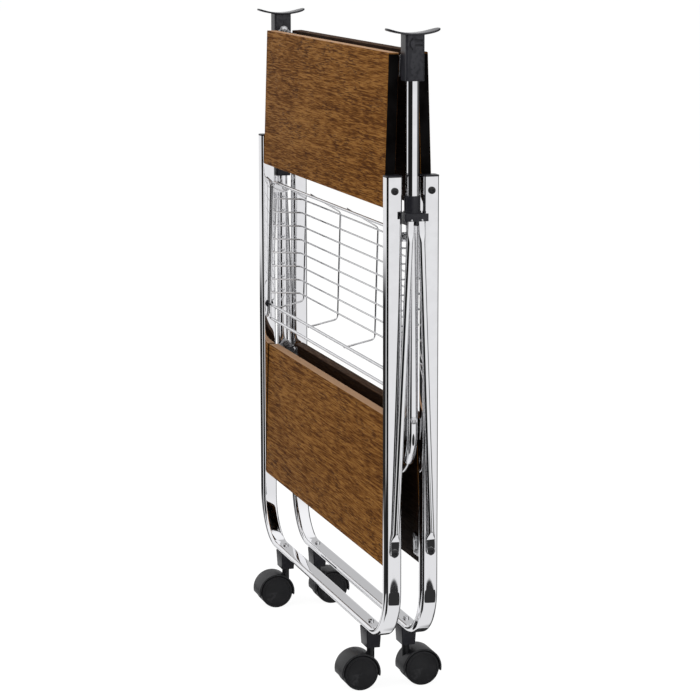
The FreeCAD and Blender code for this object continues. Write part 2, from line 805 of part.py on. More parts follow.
def basket_ear(side, end_x):
    """The tab on an end of the rim that hangs the basket on the centre frame."""
    x0 = side * end_x
    x1 = side * (end_x + rim_wire_diameter / 2 + basket_ear_proud)
    half = basket_ear_width / 2
    eye = rod_x(x0, x1, link_along, link_up, half)
    neck = block(x0, x1, link_along - half, link_along + half, link_up, 0)
    return eye.fuse(neck)


def basket_bush():
    """The black bush in a front leg's inner wall that the basket's axle turns in."""
    y = -frame_half_gap
    flange = rod_x(frame_inner_x - basket_bush_flange, frame_inner_x, y, basket_pivot_z,
                   basket_bush_diameter / 2)
    sleeve = rod_x(frame_inner_x, frame_inner_x + basket_bush_length, y, basket_pivot_z,
                   basket_bush_sleeve / 2)
    bore_radius = rim_wire_diameter / 2 + running_clearance
    bore = rod_x(frame_inner_x - basket_bush_flange - overrun, frame_inner_x + basket_bush_length + overrun,
                 y, basket_pivot_z, bore_radius)
    return merged([flange, sleeve]).cut(bore)


def basket_pin():
    """The shouldered pin in a post that carries the basket's tab."""
    z = basket_pivot_z + link_rise
    end_x = frame_inner_x - basket_end_clear
    tab_face = end_x + rim_wire_diameter / 2 + basket_ear_proud
    tip_x = end_x - seat_clearance
    shank = rod_x(tip_x, post_x, 0, z, screw_radius)
    head = rod_x(tip_x - basket_pin_head_height, tip_x, 0, z, pivot_nut_diameter / 2)
    shoulder = rod_x(tab_face + seat_clearance, post_x, 0, z, spacer_diameter / 2)
    shoulder = shoulder.cut(rod_z(post_x, 0, z - spacer_diameter, z + spacer_diameter, post_radius))
    return merged([shank, head, shoulder])


# Caster sockets and casters

def caster_socket(x):
    """The tapered socket under a bottom bar."""
    y = -frame_half_gap
    top = rounded_outline(socket_top_length / 2, socket_top_depth / 2, socket_top_corner,
                          V(x, y, floor_to_frame))
    bottom = rounded_outline(socket_bottom_length / 2, socket_bottom_depth / 2, socket_bottom_corner,
                             V(x, y, floor_to_frame - socket_height))
    body = Part.makeLoft([bottom, top], True, True)
    bore = rod_z(x, y, floor_to_frame - socket_height - overrun, floor_to_frame + overrun,
                 stem_diameter / 2 + running_clearance)
    return body.cut(bore)


def caster_stem(x):
    """The stem bolt of a caster, from its head on the bar down into the hood's boss."""
    y = -frame_half_gap
    socket_bottom = floor_to_frame - socket_height
    head = rod_z(x, y, frame_bar_top, frame_bar_top + stem_head_height, stem_head_diameter / 2)
    crown = stem_head_height * stem_head_edge_share
    head = round_edges(head, crown, lambda edge: edge.BoundBox.ZMin > frame_bar_top + crown)
    shank = rod_z(x, y, hood_boss_floor + stem_end_gap, frame_bar_top, stem_diameter / 2)
    washer = rod_z(x, y, socket_bottom - stem_washer_thickness, socket_bottom, stem_washer_diameter / 2)
    return merged([head, shank, washer])


def caster_hood():
    """The hood of a twin-wheel caster, drawn with its stem axis on the Z axis."""
    width = 2 * wheel_width + hood_web + 4 * seat_clearance
    shell = rod_x(-width / 2, width / 2, -caster_trail, wheel_radius, hood_diameter / 2)
    shell = round_edges(shell, hood_edge_radius, lambda edge: edge.BoundBox.XLength < hood_edge_radius)
    boss = rod_z(0, 0, wheel_radius + hood_boss_above_axle, boss_top, hood_boss_diameter / 2)
    cuts = [
        block(-width, width, -caster_trail - hood_diameter, hood_diameter,
              -hood_diameter, wheel_radius - hood_below_axle),
        rod_x(-width, width, -caster_trail, wheel_radius, axle_diameter / 2),
        rod_z(0, 0, hood_boss_floor, boss_top + overrun, stem_diameter / 2 + running_clearance),
    ]
    for side in (-1, 1):
        cuts.append(rod_x(side * hood_web / 2, side * width, -caster_trail, wheel_radius,
                          hood_cavity_diameter / 2))
    return shell.fuse(boss).cut(cuts).removeSplitter()


def caster_axle():
    """The axle pin, pressed through the hood's web, on which both wheels turn."""
    half = hood_web / 2 + wheel_width - axle_wall
    return rod_x(-half, half, -caster_trail, wheel_radius, axle_diameter / 2)


def caster_wheel(side):
    """One wheel of a twin-wheel caster, dished around its hub, with a blind bore."""
    near = hood_web / 2 + seat_clearance
    far = near + wheel_width
    floor = far - wheel_face_depth
    wheel = rod_x(near, far, 0, 0, wheel_radius)
    wheel = wheel.makeFillet(wheel_edge_radius, [edge for edge in wheel.Edges if len(edge.Vertexes) == 1])
    rim = wheel_radius - wheel_face_rim
    dish = Part.makeCone(rim - wheel_face_depth, rim, wheel_face_depth, V(floor, 0, 0), AXIS_X)
    hub = rod_x(floor, far, 0, 0, wheel_hub_radius)
    bore = rod_x(near - overrun, far - axle_wall, 0, 0, axle_diameter / 2 + running_clearance)
    wheel = wheel.cut([dish.cut(hub), bore])
    wheel.translate(V(0, -caster_trail, wheel_radius))
    return wheel if side > 0 else mirrored_x(wheel)


def placed_caster(solid, x, rear):
    """Put a caster piece, drawn for the front, under its socket."""
    piece = solid.copy()
    piece.translate(V(x, -frame_half_gap, 0))
    return mirrored_y(piece) if rear else piece


def write_frames():
    """Front and rear frames with everything fixed to them."""
    for name, rear in (("front", False), ("rear", True)):
        sockets = [caster_socket(x) for x in (-caster_half_spacing, caster_half_spacing)]
        stems = [caster_stem(x) for x in (-caster_half_spacing, caster_half_spacing)]
        head_seat = strut_bottom_x + strut_flat_thickness + seat_clearance
        screws = both_ends(outer_screw(upper_pivot_z, frame_outer_x))
        screws += both_ends(outer_screw(lower_pivot_z, head_seat))
        groups = {"frame_tube": [frame_tube(not rear)], "frame_plugs": both_ends(frame_plug()),
                  "caster_sockets": sockets, "caster_stems": stems, "pivot_screws": screws}
        for group, solids in groups.items():
            placed = [mirrored_y(solid) for solid in solids] if rear else solids
            write(name + "_" + group, placed)
    write("basket_outer_bushes", both_ends(basket_bush()))


def write_centre():
    """The centre frame with its handles, and the struts and junctions that follow it."""
    write("centre_frame_tube", [centre_tube()])
    write("centre_pivot_screws", both_ends(lower_centre_screw()) + both_ends(upper_centre_screw()))
    write("centre_spacers", both_ends(centre_spacer()))
    write("basket_inner_pins", both_ends(basket_pin()))
    ends = {"right": lambda solid: solid, "left": mirrored_x}
    for name, place in ends.items():
        write("handle_block_" + name, [place(handle_block())])
        write("handle_plate_" + name, [place(handle_plate())])
        write("slider_" + name, [place(slider())])
        write("slider_rivets_" + name, [place(head) for head in slider_rivets()])
        write("strut_front_" + name, [place(strut())])
        write("strut_rear_" + name, [mirrored_y(place(strut()))])


def write_shelves():
    """The four half shelves and the basket."""
    for tier in ("upper", "lower"):
        for row, ear_x in (("front", front_ear_x), ("rear", rear_ear_x)):
            for group, solids in shelf_pieces(ear_x).items():
                placed = [folded(solid, PIVOT_Z[tier]) for solid in solids]
                if row == "rear":
                    placed = [mirrored_y(solid) for solid in placed]
                write(tier + "_" + row + "_" + group, placed)
    write("wire_basket", [folded(basket(), basket_pivot_z)])


def write_casters():
    """The four casters, two under each frame."""
    for row in ("front", "rear"):
        for name, x in (("left", -caster_half_spacing), ("right", caster_half_spacing)):
            stem = "caster_" + row + "_" + name + "_"
            rear = row == "rear"
            write(stem + "hood", [placed_caster(caster_hood(), x, rear)])
            write(stem + "axle", [placed_caster(caster_axle(), x, rear)])
            write(stem + "wheel_a", [placed_caster(caster_wheel(-1), x, rear)])
            write(stem + "wheel_b", [placed_caster(caster_wheel(1), x, rear)])


os.makedirs("parts", exist_ok=True)
write_frames()
write_centre()
write_shelves()
write_casters()
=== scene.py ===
"""Looks of the folding serving cart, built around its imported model. All lengths are in metres."""

import logging
import math
from dataclasses import dataclass
from enum import Enum
from typing import Any, Callable, Iterable, Sequence

import bmesh
import bpy
import numpy as np
from mathutils import Matrix, Vector


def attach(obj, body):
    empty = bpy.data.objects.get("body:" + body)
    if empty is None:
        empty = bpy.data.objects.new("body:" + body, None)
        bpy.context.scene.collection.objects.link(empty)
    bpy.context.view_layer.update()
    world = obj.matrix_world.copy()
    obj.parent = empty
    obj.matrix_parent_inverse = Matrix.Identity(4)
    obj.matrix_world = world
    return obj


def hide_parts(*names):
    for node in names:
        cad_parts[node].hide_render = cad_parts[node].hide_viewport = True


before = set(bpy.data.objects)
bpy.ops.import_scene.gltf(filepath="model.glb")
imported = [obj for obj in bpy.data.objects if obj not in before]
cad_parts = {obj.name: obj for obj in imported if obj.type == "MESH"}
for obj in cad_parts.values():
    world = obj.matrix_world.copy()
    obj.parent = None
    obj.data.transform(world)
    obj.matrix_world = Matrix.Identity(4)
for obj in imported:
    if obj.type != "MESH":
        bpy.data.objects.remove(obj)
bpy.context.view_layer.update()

LOG = logging.getLogger("folding_cart")

MERGE_DISTANCE = 2e-6
AXIS_RADIUS = 1e-5
NEARLY_ZERO = 1e-6
LEAST_CORNER_SHARE = 0.1
FLAT_ANGLE = math.radians(0.6)
ROUNDED_ANGLE = math.radians(32)
ROUNDING_SEGMENTS = 3
SHARP_ANGLE = 38.0
WIDE_SHARP_ANGLE = 60.0

WHITE = (1.0, 1.0, 1.0, 1.0)

Faces = list[tuple[int, ...]]
Profile = Sequence[tuple[float, float]]
Triple = tuple[float, float, float]
Change = Callable[[np.ndarray], np.ndarray]


class Side(Enum):
    """A side or an end of the cart, whose value is its direction along an axis."""

    @property
    def label(self) -> str:
        """Name used in bodies and nodes."""
        return self.name.lower()


class Row(Side):
    """Side of the fold that a piece stands on."""

    FRONT = -1
    REAR = 1


class End(Side):
    """End of the cart that a piece sits at."""

    LEFT = -1
    RIGHT = 1


class Tier(Enum):
    """Shelf level."""

    UPPER = "upper"
    LOWER = "lower"


class Recess(Enum):
    """Driver recess in a screw head."""

    HEXAGON = "hexagon"
    CROSS = "cross"


@dataclass(frozen=True)
class Linkage:
    """Pivots of the folding linkage, which the shelves, basket and struts share."""

    half_gap: float = 0.0284
    rise: float = 0.2
    fold_angle: float = math.radians(88.2)
    upper_z: float = 0.782
    basket_z: float = 0.5115
    lower_z: float = 0.241
    rivet_z: float = 0.7405
    rivet_half_gap: float = 0.008

    @property
    def along(self) -> float:
        """Distance of a link's inner pivot from its outer pivot, along the level link."""
        return self.half_gap * math.cos(self.fold_angle) + self.rise * math.sin(self.fold_angle)

    @property
    def up(self) -> float:
        """Height of a link's inner pivot over its outer pivot, on the level link."""
        return self.rise * math.cos(self.fold_angle) - self.half_gap * math.sin(self.fold_angle)

    def pivot_z(self, tier: Tier) -> float:
        """Height of a shelf's outer pivot."""
        return self.upper_z if tier is Tier.UPPER else self.lower_z

    def fold(self, points: np.ndarray, pivot_z: float, row: Row) -> np.ndarray:
        """Put points of a level link where they are in the folded cart.

        Args:
            points: Points as (x, along, up) from the link's outer pivot.
            pivot_z: Height of that pivot.
            row: Side of the fold that the link is on.

        Returns:
            The points in the cart's frame.
        """
        cosine, sine = math.cos(self.fold_angle), math.sin(self.fold_angle)
        x, along, up = points.T
        y = along * cosine - up * sine - self.half_gap
        return np.column_stack([x, -row.value * y, along * sine + up * cosine + pivot_z])


LINKS = Linkage()


@dataclass
class Shell:
    """Closed surfaces of one piece."""

    points: np.ndarray
    faces: Faces

    def moved(self, change: Change) -> "Shell":
        """A copy with its points changed by a function."""
        return Shell(change(self.points), self.faces)

    def shifted(self, offset: Sequence[float]) -> "Shell":
        """A copy moved by an offset."""
        return self.moved(lambda points: points + np.array(offset))

    @staticmethod
    def joined(shells: Iterable["Shell"]) -> "Shell":
        """Put several shells into one.

        Args:
            shells: The shells.

        Returns:
            A shell with all their surfaces.
        """
        clouds: list[np.ndarray] = []
        faces: Faces = []
        start = 0
        for shell in shells:
            clouds.append(shell.points)
            faces.extend(tuple(start + index for index in face) for face in shell.faces)
            start += len(shell.points)
        return Shell(np.vstack(clouds), faces)


def stacked_loops(loops: Sequence[np.ndarray]) -> Shell:
    """Join loops of equally many points into one surface with closed ends.

    Args:
        loops: The loops in order, each an array of points.

    Returns:
        The surface.
    """
    count = len(loops[0])
    last = (len(loops) - 1) * count
    faces: Faces = []
    for low in range(0, last, count):
        for index in range(count):
            after = (index + 1) % count
            faces.append((low + index, low + after, low + count + after, low + count + index))
    faces.append(tuple(reversed(range(count))))
    faces.append(tuple(range(last, last + count)))
    return Shell(np.vstack(loops), faces)


def full_turn(steps: int) -> np.ndarray:
    """Even angles once round."""
    return np.linspace(0, 2 * math.pi, steps, endpoint=False)


def quarter_turn(steps: int) -> list[tuple[float, float]]:
    """Sines and cosines of even angles from 0 to 90 degrees."""
    return [(math.sin(angle), math.cos(angle)) for angle in np.linspace(0, math.pi / 2, steps + 1)]


def ring(reach: Any, height: float, steps: int) -> np.ndarray:
    """A loop about Z at a height, from one radius or one for each point."""
    angles = full_turn(steps)
    return np.column_stack([reach * np.cos(angles), reach * np.sin(angles), np.full(steps, height)])


def rounded_loop(half_x: float, half_y: float, corner: float, height: float = 0.0,
                 steps: int = 5) -> np.ndarray:
    """A rounded rectangle about Z at a height.

    Args:
        half_x: Half its size along X.
        half_y: Half its size along Y.
        corner: Corner radius.
        height: Height of the loop.
        steps: Segments in each corner.

    Returns:
        Its points.
    """
    points = []
    for sign_x, sign_y, start in ((1, 1, 0), (-1, 1, 90), (-1, -1, 180), (1, -1, 270)):
        for step in range(steps + 1):
            angle = math.radians(start + 90 * step / steps)
            points.append((sign_x * (half_x - corner) + corner * math.cos(angle),
                           sign_y * (half_y - corner) + corner * math.sin(angle), height))
    return np.array(points)


def slab(half_x: float, half_y: float, low: float, high: float, corner: float, edge: float,
         steps: int = 4) -> Shell:
    """A slab with rounded corners and rounded rims.

    Args:
        half_x: Half its size along X.
        half_y: Half its size along Y.
        low: Height of its lower face.
        high: Height of its upper face.
        corner: Corner radius seen from above.
        edge: Radius of the upper and lower rims.
        steps: Segments in each rounding.

    Returns:
        The slab.
    """
    least_corner = edge * LEAST_CORNER_SHARE
    loops = []
    for base, sign in ((low + edge, -1), (high - edge, 1)):
        for sine, cosine in quarter_turn(steps)[::sign]:
            inset = edge * (1 - cosine)
            loops.append(rounded_loop(half_x - inset, half_y - inset, max(corner - inset, least_corner),
                                      base + sign * edge * sine))
    return stacked_loops(loops)


def lathe(profile: Profile, steps: int) -> Shell:
    """Turn a profile about Z.

    Args:
        profile: Points as (radius, height). Radii at the ends may be zero.
        steps: Segments around.

    Returns:
        The turned surface, closed at its ends.
    """
    return stacked_loops([ring(max(radius, AXIS_RADIUS), height, steps) for radius, height in profile])


def rims(radius: float, low: float, high: float, edge: float, steps: int = 4) -> Profile:
    """Side of a cylinder with two rounded rims.

    Args:
        radius: Radius of the cylinder.
        low: Lower end.
        high: Upper end.
        edge: Radius of both rims.
        steps: Segments in each rim.

    Returns:
        Its profile as (radius, height), from the lower end up.
    """
    arc = quarter_turn(steps)
    lower = [(radius - edge * (1 - sine), low + edge * (1 - cosine)) for sine, cosine in arc]
    upper = [(radius - edge * (1 - cosine), high - edge * (1 - sine)) for sine, cosine in arc]
    return lower + upper


def pin(radius: float, low: float, high: float, edge: float, steps: int) -> Shell:
    """A round pin about Z with rounded rims."""
    return lathe([(0.0, low), *rims(radius, low, high, edge), (0.0, high)], steps)


def along_x(origin: Triple, sign: int = 1) -> Change:
    """A change that lays a shape drawn along Z along X.

    Args:
        origin: Where the shape's own origin goes.
        sign: 1 for +X, -1 for -X.

    Returns:
        The change of points.
    """
    def change(points: np.ndarray) -> np.ndarray:
        """Lay the points down and move them."""
        return np.column_stack([sign * points[:, 2], points[:, 0], points[:, 1]]) + np.array(origin)
    return change


@dataclass(frozen=True)
class ScrewHead:
    """A round screw head standing on Z = 0, with a driver recess in its top.

    A ring of the recess lies below the top by shares of the dome and of the recess's depth, and reaches
    out by a share of its wall's distance.
    """

    radius: float = 0.0055
    height: float = 0.003
    edge: float = 0.0012
    recess: Recess = Recess.HEXAGON
    half_recess: float = 0.002
    recess_depth: float = 0.0016
    dome_share: float = 0.12
    arm_share: float = 0.24
    recess_rings: tuple[Triple, ...] = ((0.4, 0.0, 1.12), (0.0, 0.0, 1.02), (0.0, 0.15, 1.0),
                                        (0.0, 1.0, 0.94))
    steps: int = 36

    def wall(self, angle: float) -> float:
        """Distance of the recess's wall from its middle.

        Args:
            angle: Direction in radians.

        Returns:
            The distance.
        """
        sector = math.pi / 3 if self.recess is Recess.HEXAGON else math.pi / 2
        off = (angle + sector / 2) % sector - sector / 2
        if self.recess is Recess.HEXAGON:
            return self.half_recess / math.cos(off)
        half_arm = self.half_recess * self.arm_share
        return min(self.half_recess, half_arm / max(abs(math.sin(off)), NEARLY_ZERO))

    def build(self) -> Shell:
        """Stack the head's rim and the recess's walls."""
        dome = self.height * self.dome_share
        rim = self.height - dome
        loops = [ring(self.radius, 0, self.steps)]
        for sine, cosine in quarter_turn(4):
            inset, drop = self.edge * (1 - cosine), self.edge * (1 - sine)
            loops.append(ring(self.radius - inset, rim - drop, self.steps))
        walls = np.array([self.wall(float(angle)) for angle in full_turn(self.steps)])
        for dome_share, depth_share, reach_share in self.recess_rings:
            height = self.height - dome * dome_share - self.recess_depth * depth_share
            loops.append(ring(walls * reach_share, height, self.steps))
        return stacked_loops(loops)


SHANK_RADIUS = 0.003
PIVOT_HEAD = ScrewHead()
STEM_HEAD = ScrewHead(radius=0.00525, height=0.0032, half_recess=0.0021, recess_depth=0.0018)
PAN_HEAD = ScrewHead(radius=0.004, height=0.0024, edge=0.001, recess=Recess.CROSS, half_recess=0.0022,
                     recess_depth=0.0012)


class NodeWriter:
    """Writes the nodes of a geometry, material, world or group tree."""

    def __init__(self, tree: Any) -> None:
        """Keep the tree and empty it."""
        self.tree = tree
        self.tree.nodes.clear()

    def node(self, kind: str, inputs: dict[Any, Any] | None = None, **settings: Any) -> Any:
        """Add a node.

        Args:
            kind: Type of the node.
            inputs: Values or output sockets, by input name or number.
            **settings: Properties of the node, set before its inputs.

        Returns:
            The node.
        """
        made = self.tree.nodes.new(kind)
        for name, value in settings.items():
            setattr(made, name, value)
        for key, value in (inputs or {}).items():
            if isinstance(value, bpy.types.NodeSocket):
                self.tree.links.new(value, made.inputs[key])
            else:
                made.inputs[key].default_value = value
        return made

    def first(self, kind: str, inputs: dict[Any, Any], **settings: Any) -> Any:
        """Add a node and return its first output."""
        return self.node(kind, inputs, **settings).outputs[0]

    def math(self, operation: str, *values: Any, clamp: bool = False) -> Any:
        """Add a Math node and return its output."""
        return self.first("ShaderNodeMath", dict(enumerate(values)), operation=operation, use_clamp=clamp)

    def length(self, first: Any, second: Any) -> Any:
        """Length of a step with two parts at right angles."""
        squares = [self.math("MULTIPLY", part, part) for part in (first, second)]
        return self.math("SQRT", self.math("ADD", *squares))

    def ramp(self, value: Any, low: float, high: float, to_low: float = 0.0, to_high: float = 1.0) -> Any:
        """Add a smooth Map Range node and return its output."""
        limits = {0: value, 1: low, 2: high, 3: to_low, 4: to_high}
        return self.first("ShaderNodeMapRange", limits, interpolation_type="SMOOTHSTEP")

    def blend(self, factor: Any, first: Any, second: Any) -> Any:
        """Mix two colours and return the output."""
        return self.node("ShaderNodeMix", {0: factor, 6: first, 7: second}, data_type="RGBA").outputs[2]

    def either(self, choice: Any, plain: Any, special: Any) -> Any:
        """Mix two shaders by a choice and return the output."""
        return self.first("ShaderNodeMixShader", {0: choice, 1: plain, 2: special})


class GroupWriter(NodeWriter):
    """Writes one node group."""

    def __init__(self, name: str, kind: str, inputs: dict[str, tuple[str, Any]],
                 outputs: dict[str, str]) -> None:
        """Start the group.

        Args:
            name: Name of the group.
            kind: Type of the tree.
            inputs: Socket kind and default of each input, by name.
            outputs: Socket kind of each output, by name.
        """
        super().__init__(bpy.data.node_groups.new(name, kind))
        new_socket = self.tree.interface.new_socket
        for label, (socket_kind, default) in inputs.items():
            socket = new_socket(name=label, in_out="INPUT", socket_type="NodeSocket" + socket_kind)
            if default is not None:
                socket.default_value = default
        for label, socket_kind in outputs.items():
            new_socket(name=label, in_out="OUTPUT", socket_type="NodeSocket" + socket_kind)
        self.given = self.node("NodeGroupInput").outputs
        self.result = self.node("NodeGroupOutput").inputs

    def give(self, name: str, value: Any) -> None:
        """Link a socket to an output of the group."""
        self.tree.links.new(value, self.result[name])


class GeometryTrees:
    """The two geometry node trees: a section swept along paths, and a shape placed on points."""

    def __init__(self) -> None:
        """Build both trees."""
        self.sweep = self.path_sweep()
        self.place = self.shape_on_points()

    @staticmethod
    def dressed(writer: GroupWriter, geometry: Any) -> Any:
        """End a tree with real geometry in its finish.

        Args:
            writer: Writer of the tree.
            geometry: Socket with the geometry.

        Returns:
            The tree.
        """
        whole = writer.first("GeometryNodeRealizeInstances", {"Geometry": geometry})
        writer.give("Geometry", writer.first("GeometryNodeSetMaterial",
                                             {"Geometry": whole, "Material": writer.given["Finish"]}))
        return writer.tree

    @classmethod
    def path_sweep(cls) -> Any:
        """A tree that rounds the corners of paths and sweeps a section along them."""
        writer = GroupWriter(
            "section_along_paths", "GeometryNodeTree",
            {"Paths": ("Geometry", None), "Section": ("Object", None), "Bend Radius": ("Float", 0.01),
             "Bend Steps": ("Int", 8), "Side": ("Vector", (0.0, 1.0, 0.0)), "Finish": ("Material", None)},
            {"Geometry": "Geometry"})
        given = writer.given
        curve = writer.first("GeometryNodeMeshToCurve", {"Mesh": given["Paths"]})
        bent = writer.first("GeometryNodeFilletCurve",
                            {"Curve": curve, "Count": given["Bend Steps"], "Radius": given["Bend Radius"],
                             "Limit Radius": True}, mode="POLY")
        turned = writer.first("GeometryNodeSetCurveNormal", {"Curve": bent, "Normal": given["Side"]},
                              mode="FREE")
        section = writer.node("GeometryNodeObjectInfo", {"Object": given["Section"]}).outputs["Geometry"]
        outline = writer.first("GeometryNodeMeshToCurve", {"Mesh": section})
        swept = writer.first("GeometryNodeCurveToMesh",
                             {"Curve": turned, "Profile Curve": outline, "Fill Caps": True})
        return cls.dressed(writer, swept)

    @classmethod
    def shape_on_points(cls) -> Any:
        """A tree that places a shape on points, turned and sized by their attributes."""
        writer = GroupWriter(
            "shape_on_points", "GeometryNodeTree",
            {"Places": ("Geometry", None), "Shape": ("Object", None), "Finish": ("Material", None)},
            {"Geometry": "Geometry"})
        turn, size = (writer.first("GeometryNodeInputNamedAttribute", {"Name": name},
                                   data_type="FLOAT_VECTOR") for name in ("turn", "size"))
        rotation = writer.first("FunctionNodeEulerToRotation", {0: turn})
        shape = writer.node("GeometryNodeObjectInfo", {"Object": writer.given["Shape"]}).outputs["Geometry"]
        placed = writer.first("GeometryNodeInstanceOnPoints",
                              {"Points": writer.given["Places"], "Instance": shape, "Rotation": rotation,
                               "Scale": size})
        return cls.dressed(writer, placed)


def linked(name: str, data: Any) -> Any:
    """Make an object and link it to the scene.

    Args:
        name: Its name.
        data: Its mesh, light or camera.

    Returns:
        The object.
    """
    made = bpy.data.objects.new(name, data)
    bpy.context.scene.collection.objects.link(made)
    return made


def mesh_object(name: str, points: Iterable[Sequence[float]], edges: Sequence[tuple[int, int]] = (),
                faces: Faces = ()) -> Any:
    """An object made of points, edges and faces.

    Args:
        name: Its name.
        points: Its points.
        edges: Its edges.
        faces: Its faces.

    Returns:
        The object, linked to the scene.
    """
    mesh = bpy.data.meshes.new(name)
    mesh.from_pydata([tuple(point) for point in points], edges, faces)
    return linked(name, mesh)


def merge(mesh: Any, change: Callable[[Any], Any]) -> None:
    """Merge a mesh's doubled points and change it further.

    Args:
        mesh: The mesh.
        change: The further change.
    """
    work = bmesh.new()
    work.from_mesh(mesh)
    bmesh.ops.remove_doubles(work, verts=work.verts, dist=MERGE_DISTANCE)
    change(work)
    work.to_mesh(mesh)
    work.free()


def evaluated_mesh(source: Any) -> Any:
    """Take the mesh that an object's modifiers make.

    Args:
        source: The object. It is removed.

    Returns:
        The mesh.
    """
    graph = bpy.context.evaluated_depsgraph_get()
    mesh = bpy.data.meshes.new_from_object(source.evaluated_get(graph))
    bpy.data.objects.remove(source)
    return mesh


def run_tree(tree: Any, source: Any, values: dict[str, Any]) -> Shell:
    """Run a geometry tree on an object and take the result as a shell.

    Args:
        tree: The tree.
        source: The object whose mesh the tree starts from. It is removed.
        values: The tree's other inputs, by name. Objects among them are removed.

    Returns:
        The resulting surfaces.
    """
    modifier = source.modifiers.new("tree", "NODES")
    modifier.node_group = tree
    sockets = {item.name: item.identifier for item in tree.interface.items_tree
               if item.item_type == "SOCKET" and item.in_out == "INPUT"}
    for name, value in values.items():
        modifier[sockets[name]] = value
    mesh = evaluated_mesh(source)
    shell = Shell(np.array([vertex.co[:] for vertex in mesh.vertices]),
                  [tuple(polygon.vertices) for polygon in mesh.polygons])
    bpy.data.meshes.remove(mesh)
    for value in values.values():
        if isinstance(value, bpy.types.Object):
            bpy.data.objects.remove(value)
    return shell


@dataclass(frozen=True)
class Placement:
    """Where one copy of a repeated shape goes."""

    point: Triple
    direction: Triple
    size: Triple = (1.0, 1.0, 1.0)

    @property
    def turn(self) -> Any:
        """Angles of the rotation that turns Z into the direction."""
        return Vector(self.direction).to_track_quat("Z", "Y").to_matrix().to_euler()


def opaque(color: Triple) -> tuple[float, float, float, float]:
    """A colour with full opacity."""
    return (*color, 1.0)


def changed(color: Triple, share: float, lift: float = 0.0) -> Triple:
    """A colour with each part scaled and lifted, up to white."""
    return tuple(min(1.0, part * share + lift) for part in color)


@dataclass(frozen=True)
class Wear:
    """How edges are rubbed: how sharp they are, how broken the rubbing is and how strong."""

    sharpness: float
    breakup_scale: float
    strength: float


class ShaderGroups:
    """Shader node groups that several materials use."""

    def __init__(self) -> None:
        """Build the groups."""
        self.speckle = self.build_speckle()
        self.edge_wear = self.build_edge_wear()
        self.grain = self.build_grain()

    @staticmethod
    def build_speckle() -> Any:
        """Fine even noise, as a value between two limits and as a height."""
        writer = GroupWriter(
            "speckle", "ShaderNodeTree",
            {"Place": ("Vector", None), "Scale": ("Float", 100.0), "Low": ("Float", 0.0),
             "High": ("Float", 1.0)},
            {"Value": "Float", "Height": "Float"})
        given = writer.given
        noise = writer.first("ShaderNodeTexNoise", {"Vector": given["Place"], "Scale": given["Scale"],
                                                    "Detail": 3.0, "Roughness": 0.55})
        noise_limits = (0.3, 0.7)
        writer.give("Value", writer.ramp(noise, *noise_limits, given["Low"], given["High"]))
        writer.give("Height", noise)
        return writer.tree

    @staticmethod
    def build_edge_wear() -> Any:
        """A broken mask on outer edges."""
        writer = GroupWriter(
            "edge_wear", "ShaderNodeTree",
            {"Place": ("Vector", None), "Sharpness": ("Float", 0.06), "Breakup Scale": ("Float", 100.0)},
            {"Mask": "Float"})
        given = writer.given
        flat, start_share = 0.505, 0.2
        pointed = writer.node("ShaderNodeNewGeometry").outputs["Pointiness"]
        start = writer.math("ADD", flat, writer.math("MULTIPLY", given["Sharpness"], start_share))
        edge = writer.ramp(pointed, start, writer.math("ADD", flat, given["Sharpness"]))
        noise = writer.first("ShaderNodeTexNoise", {"Vector": given["Place"],
                                                    "Scale": given["Breakup Scale"], "Detail": 4.0})
        broken_limits = (0.35, 0.6)
        writer.give("Mask", writer.math("MULTIPLY", edge, writer.ramp(noise, *broken_limits), clamp=True))
        return writer.tree

    @staticmethod
    def build_grain() -> Any:
        """Laminate grain along X: a tone, a mask of flecks and a height."""
        writer = GroupWriter("laminate_grain", "ShaderNodeTree", {"Place": ("Vector", None)},
                             {"Tone": "Float", "Fleck": "Float", "Height": "Float"})

        def noise(cycles: Triple, detail: float, roughness: float = 0.55) -> Any:
            """Add noise to the tree.

            Args:
                cycles: Cycles per metre along X, Y and Z.
                detail: Octaves of the noise.
                roughness: Strength of the higher octaves.

            Returns:
                Socket with the noise.
            """
            mapped = writer.first("ShaderNodeMapping", {"Vector": writer.given["Place"], "Scale": cycles},
                                  vector_type="POINT")
            return writer.first("ShaderNodeTexNoise", {"Vector": mapped, "Scale": 1.0, "Detail": detail,
                                                       "Roughness": roughness})

        strips = noise((1.2, 26.0, 30.0), 1.0)
        bands = noise((9.0, 190.0, 200.0), 2.0)
        lines = noise((30.0, 600.0, 620.0), 3.0, 0.6)
        clouds = noise((6.0, 9.0, 9.0), 2.0)
        strips_share, bands_share, lines_share, clouds_share = 0.08, 0.2, 0.64, 0.08
        tone = writer.math("MULTIPLY", strips, strips_share)
        for layer, share in ((bands, bands_share), (lines, lines_share), (clouds, clouds_share)):
            tone = writer.math("ADD", tone, writer.math("MULTIPLY", layer, share))
        dashes = noise((52.0, 560.0, 560.0), 1.0)
        crowd = noise((14.0, 26.0, 26.0), 1.0)
        crowd_limits, fleck_limits, fleck_softness = (0.42, 0.62), (0.66, 0.54), 0.05
        tone_limits, fleck_depth = (0.35, 0.65), 0.4
        limit = writer.ramp(crowd, *crowd_limits, *fleck_limits)
        fleck = writer.ramp(writer.math("SUBTRACT", dashes, limit), 0.0, fleck_softness)
        writer.give("Tone", writer.ramp(tone, *tone_limits))
        writer.give("Fleck", fleck)
        writer.give("Height", writer.math("SUBTRACT", lines, writer.math("MULTIPLY", fleck, fleck_depth)))
        return writer.tree


